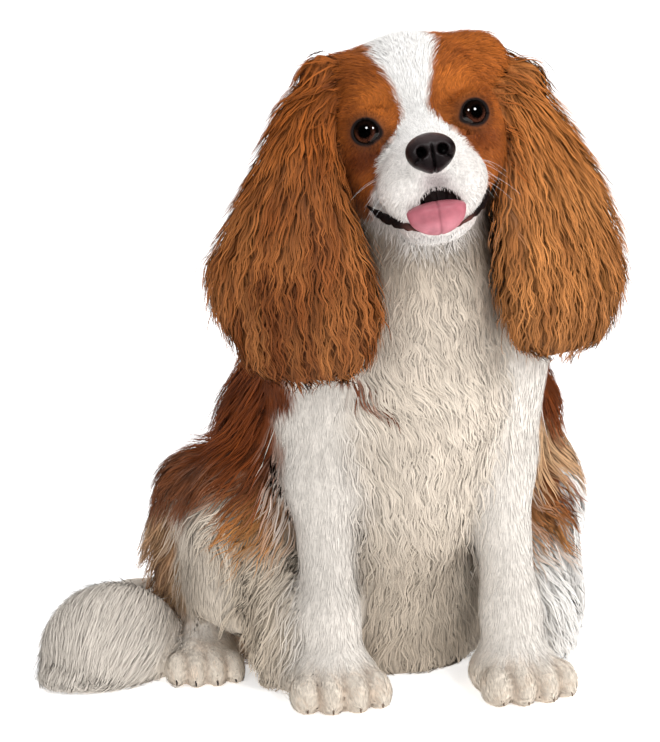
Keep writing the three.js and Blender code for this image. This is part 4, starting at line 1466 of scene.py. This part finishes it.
def tube(name, points, radii, closed=False, sides=10):
    """A tapering tube along a line of points in millimetres, capped unless it is closed to a ring."""
    path = np.array(points, float)
    tangent = np.roll(path, -1, 0) - np.roll(path, 1, 0) if closed else np.gradient(path, axis=0)
    tangent = unit(tangent)
    up = np.array((0.02, -1, 0.05)) @ HEAD_AXES.T
    side = unit(np.cross(tangent, up))
    over = np.cross(side, tangent)
    turn = np.arange(sides) / sides * 2 * math.pi
    ring = np.cos(turn)[None, :, None] * side[:, None] + np.sin(turn)[None, :, None] * over[:, None]
    body = (path[:, None] + ring * radii[:, None, None]).reshape(-1, 3)
    rows = len(path)
    faces = []
    for r in range(rows if closed else rows - 1):
        for j in range(sides):
            k = (j + 1) % sides
            n = (r + 1) % rows
            faces.append((r * sides + j, r * sides + k, n * sides + k, n * sides + j))
    if not closed:
        body = np.concatenate([body, path[[0, -1]]])
        last = rows * sides
        for j in range(sides):
            k = (j + 1) % sides
            faces.append((last, k, j))
            faces.append((last + 1, (rows - 1) * sides + j, (rows - 1) * sides + k))
    return new_object(name, body, [np.array(f) for f in faces])


def smooth_line(points, count):
    """Points evenly along a smooth curve through the given ones."""
    p = np.array(points, float)
    p = np.concatenate([[2 * p[0] - p[1]], p, [2 * p[-1] - p[-2]]])
    out = []
    for t in np.linspace(0, len(points) - 1 - 1e-6, count):
        i = int(t)
        f = t - i
        a, b, c, d = p[i : i + 4]
        bend = (2 * a - 5 * b + 4 * c - d) * f**2 + (3 * b - 3 * c + d - a) * f**3
        out.append(0.5 * (2 * b + (c - a) * f + bend))
    return np.array(out)


# Angles from the look at which the pupil, the iris and the dark ring round it end, in radians; the ring is a
# dark limbus deepened by painted shade under the lids
PUPIL_EDGE = (0.27, 0.4)
IRIS_EDGE = (0.44, 0.54)
WHITE_EDGE = (0.66, 0.75)
CORNEA_RISE = 0.9
CORNEA_SPREAD = 0.55


def eyeball(side):
    """A ball with a raised cornea, its pupil and iris painted by distance from the look, the iris darker at
    the top as painted shadow of the upper lid.
    """
    rings, around = 48, 64
    lat = np.linspace(0, math.pi, rings + 1)
    turn = np.arange(around) / around * 2 * math.pi
    radius = EYE_RADIUS + CORNEA_RISE * np.exp(-((lat / CORNEA_SPREAD) ** 4))
    across = np.sin(lat)[:, None] * np.cos(turn)
    upward = np.sin(lat)[:, None] * np.sin(turn)
    ahead = np.broadcast_to(np.cos(lat)[:, None], across.shape)
    local = (np.stack([across, ahead, upward], -1) * radius[:, None, None]).reshape(-1, 3)
    faces = []
    for r in range(rings):
        for j in range(around):
            k = (j + 1) % around
            faces.append(((r + 1) * around + j, (r + 1) * around + k, r * around + k, r * around + j))
    piece = new_object("eyeball_" + LABELS[side], from_eye_local(local, side), np.array(faces))
    angle = np.repeat(lat, around)
    # The iris is painted darker towards its top as painted shadow of the upper lid.
    iris = mix(srgb("42241A"), srgb("120906"), ramp(local[:, 2], -4.5, 3.5))
    colour = mix(srgb("020202"), iris, ramp(angle, *PUPIL_EDGE))
    # Round the iris the ball is painted nearly black: a dark limbus, deepened as painted shade under the
    # lids.
    colour = mix(colour, srgb("080504"), ramp(angle, *IRIS_EDGE))
    paint(piece, "Coat", mix(colour, srgb("3A2A28"), ramp(angle, *WHITE_EDGE)))
    return piece


def lid_rim(side):
    """The dark wet edge of the lids."""
    wide, high = LID_OPENING
    turn = np.linspace(0, 2 * math.pi, 65)[:-1]
    u, v = np.cos(turn) * wide, np.sin(turn) * high
    drawn = opening_width(u, v, side)
    u, v = u * drawn, v * drawn
    out = np.sqrt(np.maximum((EYE_RADIUS + 0.5) ** 2 - u * u - v * v, 1))
    points = from_eye_local(np.stack([u, out, v], -1), side)
    return tube("lid_rim_" + LABELS[side], points, np.full(len(points), LID_RIM), closed=True)


LIP_ROUTE = [
    (-39, -34, -41),
    (-32, -50, -49),
    (-23, -64, -55.5),
    (-13, -74, -60.5),
    (0, -77.5, -63),
    (13, -74, -60.5),
    (23, -64, -55.5),
    (31, -50, -49),
    (36, -36, -42),
]


def lower_lip():
    """The dark lower lip: full towards the corners of the mouth, thin under the tongue."""
    across = np.linspace(-1, 1, 80)
    line = smooth_line(LIP_ROUTE, len(across)) + np.array((0, 1.2, 0))
    radii = np.interp(np.abs(across), (0, 0.3, 0.5, 0.72, 0.93, 1), (0.9, 1.3, 2.5, 2.6, 1.1, 0.3))
    bumps = 1 + 0.16 * np.sin(44 * (across + 1)) + 0.1 * np.sin(75.5 * (across + 1))
    slimmer = np.interp(across, (-0.2, 0.3), (1.08, 0.8))
    lip = tube("lips_dark", from_head(line), radii * bumps * slimmer)
    q = to_head(points_of(lip))
    bare = fade(np.abs(q[:, 0] + 1), 17, 24) * (0.7 + 0.3 * soft_noise(q, 3, 4))
    paint(lip, "Coat", mix(srgb("171010"), srgb("5E3A34"), bare.clip(0, 1)))
    return lip


def whiskers(rng):
    """Long pale whiskers from the pads of the muzzle."""
    hairs = []
    sag = np.linspace(0, 1, 9)[:, None]
    for side in SIDES:
        for row in range(3):
            for k in range(3):
                root = np.array((side * (22 + 3.5 * k), -72 + 8 * k, -26 - 5 * row), float)
                reach = rng.uniform(12, 28)
                way = np.array((side * 1.0, 0.1 + 0.3 * k, -0.1 - 0.12 * row)) + rng.normal(0, 0.13, 3)
                line = root + unit(way) * reach * sag + np.array((0, 6, -9)) * sag**2
                hairs.append(tube("whiskers", from_head(line), np.linspace(0.09, 0.025, 9), sides=5))
    return joined(hairs)


def paw_claws(name, x, y, paw, turn):
    """Short dark claws that show between the hairs of the toes."""
    on_paw = paw_frame(x, y, turn)
    width, length = paw["width"], paw["length"]
    claws = []
    for t in TOE_SIDES:
        ax, ay = on_paw(t * width * 1.02, -length * (0.98 - 0.3 * abs(t)))
        bx, by = on_paw(t * width * 1.05, -length * (1.1 - 0.3 * abs(t)))
        line = smooth_line([(ax, ay, 7), ((ax + bx) / 2, (ay + by) / 2, 6.2), (bx, by, 2.6)], 8)
        claws.append(tube(name, line, np.linspace(1.6, 0.4, 8), sides=8))
    return joined(claws)


def face_bare(p):
    """One where the face carries hair: away from the lids' edge, the nose, the tongue and the mouth."""
    free = np.ones(p.shape[:-1])
    q = to_head(p)
    for side in SIDES:
        near = length_of(eye_local(p, side)) < 18
        free = np.where(near & (lid_opening(p, side) < 0.9), 0, free)
    free = np.where(nose_body(q) < 1.2, 0, free)
    free = np.where(tongue_form(q) < 1.0, 0, free)
    return np.where(mouth_hollow(p) < 1.6, 0, free)


# The pieces of coat: how long, loose and wavy the hair is from place to place


# How much single tufts differ in length and in width
TUFT_SPREAD = (0.75, 1.2)


def coat(name, parts, seed, density, length, width, stations, spine, slot, material, replaced=(), where=None,
         painted_shades=(0.6, 0.95, 1.1), **habits):  # fmt: skip
    """One piece of coat over the named parts: its tufts' length may change from place to place."""
    rng = np.random.default_rng(seed)
    roots = area.sample(rng, density, parts, where)
    long_ = length(roots) * rng.uniform(*TUFT_SPREAD, len(roots))
    wide = width * rng.uniform(*TUFT_SPREAD, len(roots))
    made = grow(roots, lie_of(roots), long_, stations, rng, form_near(roots), **habits)
    paths, normals, clump, kept = made
    roots, wide = roots[kept], wide[kept]
    colour = markings(roots)
    # Dark hair differs more in tone from tuft to tuft and from clump to clump than white hair
    strength = np.interp(colour.mean(1), (0.1, 0.65), (1.3, 0.3))
    tone = strength * (rng.normal(0, 0.13, len(roots)) + rng.normal(0, 0.1, clump.max() + 1)[clump])
    colour = colour * (1 + tone.clip(-0.35, 0.35))[:, None]
    piece = tuft_mesh(name, paths, normals, wide, colour, unwrap(roots, *spine), painted_shades, rng)
    return keep(piece, material, replaced)


def steady(value):
    return lambda p: np.full(len(p), float(value))


def face_length(p):
    """Shortest by the nose and the eyes, longer on the chin and the flews."""
    q = to_head(p)
    away = length_of(q - np.array((0, -88, -22)))
    short = np.interp(away, (12, 40, 80, 130), (2.4, 4.2, 7.5, 11))
    short = short * np.interp(from_eyes(p), (12, 28), (0.5, 1))
    chin = 1.2 * ramp(-q[..., 2], 58, 66)
    flews = 0.6 * blot(np.abs(q), (26, 60, 46), (16, 30, 8), 0.5)
    return short * (1 + chin + flews)


def face_share(p):
    """Denser on the face than on the back of the head, and densest round the eyes."""
    return np.interp(to_head(p)[..., 1], (-30, 20), (1, 0.35)) * np.interp(from_eyes(p), (14, 26), (1.9, 1))


def ear_length(side):
    _, low = ear_ends(side)
    return lambda p: np.interp(p[:, 2], (low - 18, low + 40), (22, 30))


def ear_cling(side):
    """Less hold at the ear's lower edge, so that the tufts there hang down."""
    _, low = ear_ends(side)
    return lambda p: np.interp(p[:, 2], (low - 5, low + 30), (0.05, 0.6))


def ear_wave(side):
    """Smooth at the root of the ear, more and more crimped towards its lower end."""
    _, low = ear_ends(side)
    return lambda p: np.interp(p[:, 2], (low + 20, low + 130), (1.5, 0.5))


def above_cap(side):
    """None on the underside of the ear: the tufts from above hang past it."""
    _, low = ear_ends(side)
    return lambda p: ramp(p[:, 2], low - 13, low - 7)


def chest_length(p):
    return np.interp(p[:, 2], (40, 150, 240, 300, 330), (34, 26, 22, 12, 8))


def smooth_thigh(p):
    """One on the outer thigh, where the hair is short and lies flat."""
    out = np.abs(p[:, 0])
    ragged = 5 * soft_noise(p, 10, 19)
    outside = ramp(out + ragged, 111, 117) * fade(p[:, 2] + ragged, 98, 106)
    return outside * fade(p[:, 1] - 0.5 * (p[:, 2] - 70) + ragged, -24, -18)


def thigh_length(p):
    out = np.abs(p[:, 0])
    feather = np.interp(p[:, 1], (-60, -20, 40), (34, 24, 26)) * np.interp(p[:, 2], (15, 60), (0.6, 1))
    feather = feather * np.interp(out - 0.3 * p[:, 2], (96, 118), (1, 0.85))
    return np.where(rear_fringe(p) > 0.5, np.where(p[:, 0] < 0, 32, 22), feather)


def thigh_cling(p):
    """Loose at the rear edge and the hip, where the coat stands away from the body."""
    return 0.7 - 0.65 * np.maximum(rear_fringe(p) * np.where(p[:, 0] < 0, 1, 0.4), hip_corner(p))


def thigh_lift(p):
    return 0.13 + 0.2 * np.maximum(rear_fringe(p), 0.3 * hip_corner(p))


def waist(p):
    """One on the flanks above the hips, where the coat hangs past the waist."""
    flank = ramp(np.abs(p[:, 0]), 66, 92) * fade(p[:, 1], 30, 60)
    return flank * ramp(p[:, 2], 122, 142) * fade(p[:, 2], 188, 214)


def torso_length(p):
    return 24 + np.where(p[:, 0] < 0, 17, 8) * waist(p)


def torso_cling(p):
    return 0.8 - np.where(p[:, 0] < 0, 0.74, 0.6) * waist(p)


def torso_lift(p):
    return 0.1 + 0.08 * waist(p) * (p[:, 0] < 0)


# Floor, light and camera


# The floor's half width and front edge, where and how roundly it rises, and how high: metres
FLOOR_HALF = 4.0
FLOOR_FRONT = -3.0
RISE_AT = 1.6
RISE_RADIUS = 0.9
BACKDROP_TOP = 4.0


def stage_floor():
    """A pale floor that curves up behind into a backdrop."""
    profile = [(FLOOR_FRONT, 0.0), (RISE_AT, 0.0)]
    for a in np.linspace(0.1, math.pi / 2, 14):
        profile.append((RISE_AT + math.sin(a) * RISE_RADIUS, RISE_RADIUS - math.cos(a) * RISE_RADIUS))
    profile.append((RISE_AT + RISE_RADIUS, BACKDROP_TOP))
    points = np.array([(x, y, z) for y, z in profile for x in (-FLOOR_HALF, FLOOR_HALF)]) / MM
    faces = np.array([(2 * i, 2 * i + 1, 2 * i + 3, 2 * i + 2) for i in range(len(profile) - 1)])
    floor = new_object("floor", points, faces)
    floor.data.materials.append(floor_material())
    floor.visible_glossy = False


def soft_box(name, at, aim, size, watts, in_eyes=False):
    """A round soft light; only some of them leave a highlight in the eyes."""
    light = bpy.data.lights.new(name, "AREA")
    light.shape = "ELLIPSE"
    light.size = light.size_y = size
    light.energy = watts
    lamp = bpy.data.objects.new(name, light)
    bpy.context.scene.collection.objects.link(lamp)
    lamp.visible_glossy = in_eyes
    lamp.location = at
    lamp.rotation_euler = (Vector(aim) - Vector(at)).to_track_quat("-Z", "Y").to_euler()


# The photograph's view, fitted to the animal's eyes, nose and paws: degrees, metres and pixels
AZIMUTH = -16
ELEVATION = 12
DISTANCE = 1.2
AIM = (-0.063, -0.12, 0.215)
FOCAL_PIXELS = 1935
PHOTO_HEIGHT = 742
SENSOR_HEIGHT = 36


def photo_camera():
    """The photograph's view of the animal."""
    azimuth, elevation = math.radians(AZIMUTH), math.radians(ELEVATION)
    level = math.cos(elevation)
    way = Vector((math.sin(azimuth) * level, -math.cos(azimuth) * level, math.sin(elevation)))
    data = bpy.data.cameras.new("camera")
    data.sensor_fit = "VERTICAL"
    data.sensor_height = SENSOR_HEIGHT
    data.lens = FOCAL_PIXELS / PHOTO_HEIGHT * SENSOR_HEIGHT
    camera = bpy.data.objects.new("camera", data)
    bpy.context.scene.collection.objects.link(camera)
    camera.location = Vector(AIM) + way * DISTANCE
    camera.rotation_euler = (-way).to_track_quat("-Z", "Y").to_euler()
    bpy.context.scene.camera = camera


def world_light():
    world = bpy.data.worlds.new("studio")
    world.use_nodes = True
    back = world.node_tree.nodes["Background"]
    back.inputs["Color"].default_value = (1, 1, 1, 1)
    back.inputs["Strength"].default_value = 0.5
    world.cycles_visibility.glossy = False
    bpy.context.scene.world = world


# Everything is made here

rng = np.random.default_rng(7)
BODY_NODES = (
    "head", "lower_jaw", "neck", "chest", "torso", "foreleg_left", "foreleg_right", "forepaw_left",
    "forepaw_right", "thigh_left", "thigh_right", "hindpaw_left", "hindpaw_right",
)  # fmt: skip
skin = keep(body_skin(), skin_material(), BODY_NODES)

nose_black = wet_material("nose_leather", 0.42, 0.12, 0.4, 900, 0.0003)
lip_black = wet_material("lip_leather", 0.5, 0.05, 0.15, 1200, 0.0002)
tongue_pink = wet_material("tongue_wet", 0.45, 0.12, 0.4, 1500, 0.0002)
cornea = eye_material()
nose_tip = head_piece("nose_tip", nose_form, nose_tone, (-18, -100, -33), (18, -72, -4), 0.5)
keep(nose_tip, nose_black, ["nose"])
tongue_tip = head_piece("tongue_tip", tongue_form, tongue_tone, (-21, -98, -74), (18, -28, -38), 0.8)
keep(tongue_tip, tongue_pink, ["tongue"])
keep(lower_lip(), lip_black, ["lips"])
for side in SIDES:
    keep(eyeball(side), cornea, ["eye_" + LABELS[side]])
    keep(paint_even(lid_rim(side), "140D0C"), lip_black)
keep(whiskers(rng), whisker_material())
claw_horn = wet_material("claw_horn", 0.45, 0.1, 0.3, 300, 0.0002)
for side in SIDES:
    for kind, place, code in zip(("fore", "hind"), paw_places(side), ("6A5748", "2A2020")):
        claws = paw_claws(f"claws_{kind}_{LABELS[side]}", *place)
        keep(paint_even(claws, code), claw_horn)

area = SkinArea(skin)
silk = coat_material("silk_coat", 0.65, 0.13)
ear_silk = coat_material("ear_coat", 0.5, 0.3)
HEAD_LINE = (from_head((0, -90, -20)), from_head((0, 60, 10)))
BODY_LINE = ((0, -60, 320), (0, 20, 0))

coat("coat_face", ("head", "jaw"), 11, 64, face_length, 0.6, 2, HEAD_LINE, "chestnut_coat", silk,
     where=face_share, lift=0.1, gather=0.25, clump_size=(3.5, 3.5), painted_shades=(0.72, 0.97, 1.12))  # fmt: skip
for side in SIDES:
    label = LABELS[side]
    ear_line = (EAR_STATIONS[side][0][0], EAR_STATIONS[side][-1][0])
    coat("coat_ear_" + label, ("ear_" + label,), 21 + side, 14.6, ear_length(side), 1.15, 8, ear_line,
         "ear_coat", ear_silk, ["ear_" + label], where=above_cap(side), lift=0.2, cling=ear_cling(side),
         droop=0.25, gather=0.7, clump_size=(5, 16), wave=ear_wave(side), wave_length=16,
         painted_shades=(0.42, 0.86, 1.2))  # fmt: skip
    coat("coat_thigh_" + label, ("thigh_" + label,), 51 + side, 12, thigh_length, 1.0, 5, BODY_LINE,
         "white_coat", silk, where=lambda p: 1 - smooth_thigh(p), lift=thigh_lift, cling=thigh_cling,
         gather=0.6, clump_size=(6, 18), wave=1.4, wave_length=26, stray=0.07, loose=0.06,
         painted_shades=(0.62, 0.93, 1.08))  # fmt: skip
coat("coat_outer_thighs", ("thigh_left", "thigh_right"), 57, 24, steady(12), 0.75, 3, BODY_LINE,
     "white_coat", silk, where=smooth_thigh, lift=0.04, gather=0.3, clump_size=(6, 12), wave=0.3,
     wave_length=30, painted_shades=(0.94, 1, 1.02))  # fmt: skip
coat("coat_chest", ("chest", "neck"), 31, 17, chest_length, 1.1, 5, BODY_LINE, "white_coat", silk,
     lift=0.06, cling=0.9, gather=0.55, clump_size=(7, 18), wave=1.7, wave_length=24, loose=0.1,
     painted_shades=(0.9, 1, 1.04))  # fmt: skip
coat("coat_back", ("torso",), 41, 7.3, torso_length, 1.25, 4, BODY_LINE, "chestnut_coat", silk,
     lift=torso_lift, cling=torso_cling, gather=0.45, clump_size=(6, 18), wave=0.4, wave_length=30,
     painted_shades=(0.75, 0.97, 1.1))  # fmt: skip
coat("coat_forelegs", ("foreleg_left", "foreleg_right"), 61, 22, steady(10), 0.85, 2, BODY_LINE,
     "white_coat", silk, lift=0.03, gather=0.2, clump_size=(5, 8), painted_shades=(0.97, 1, 1.01))  # fmt: skip
coat("coat_paws", ("forepaw_left", "forepaw_right", "hindpaw_left", "hindpaw_right"), 71, 38,
     steady(5), 0.75, 2, BODY_LINE, "white_coat", silk, lift=0.08, gather=0.2, clump_size=(4, 4),
     painted_shades=(0.9, 0.99, 1.03))  # fmt: skip
coat("coat_tail", ("tail",), 81, 31, steady(32), 0.6, 4, (TAIL_ROUTE[0], TAIL_ROUTE[-1]),
     "white_coat", silk, ["tail"], lift=0.1, gather=0.1, clump_size=(8, 14), wave=0.4, wave_length=40,
     loose=0.2, stray=0.07, painted_shades=(0.98, 1, 1.01))  # fmt: skip

stage_floor()
world_light()
bpy.context.scene.view_settings.view_transform = "Standard"
soft_box("key", (-0.95, -1.45, 1.25), (0, -0.1, 0.25), 0.44, 8, True)
soft_box("fill", (0.5, -1.6, 1.3), (0, -0.1, 0.25), 0.42, 9, True)
soft_box("side", (1.5, -0.9, 0.9), (0, -0.05, 0.2), 0.9, 16)
soft_box("top", (0.1, 0.2, 2.2), (0, 0, 0.2), 1.6, 17)
photo_camera()
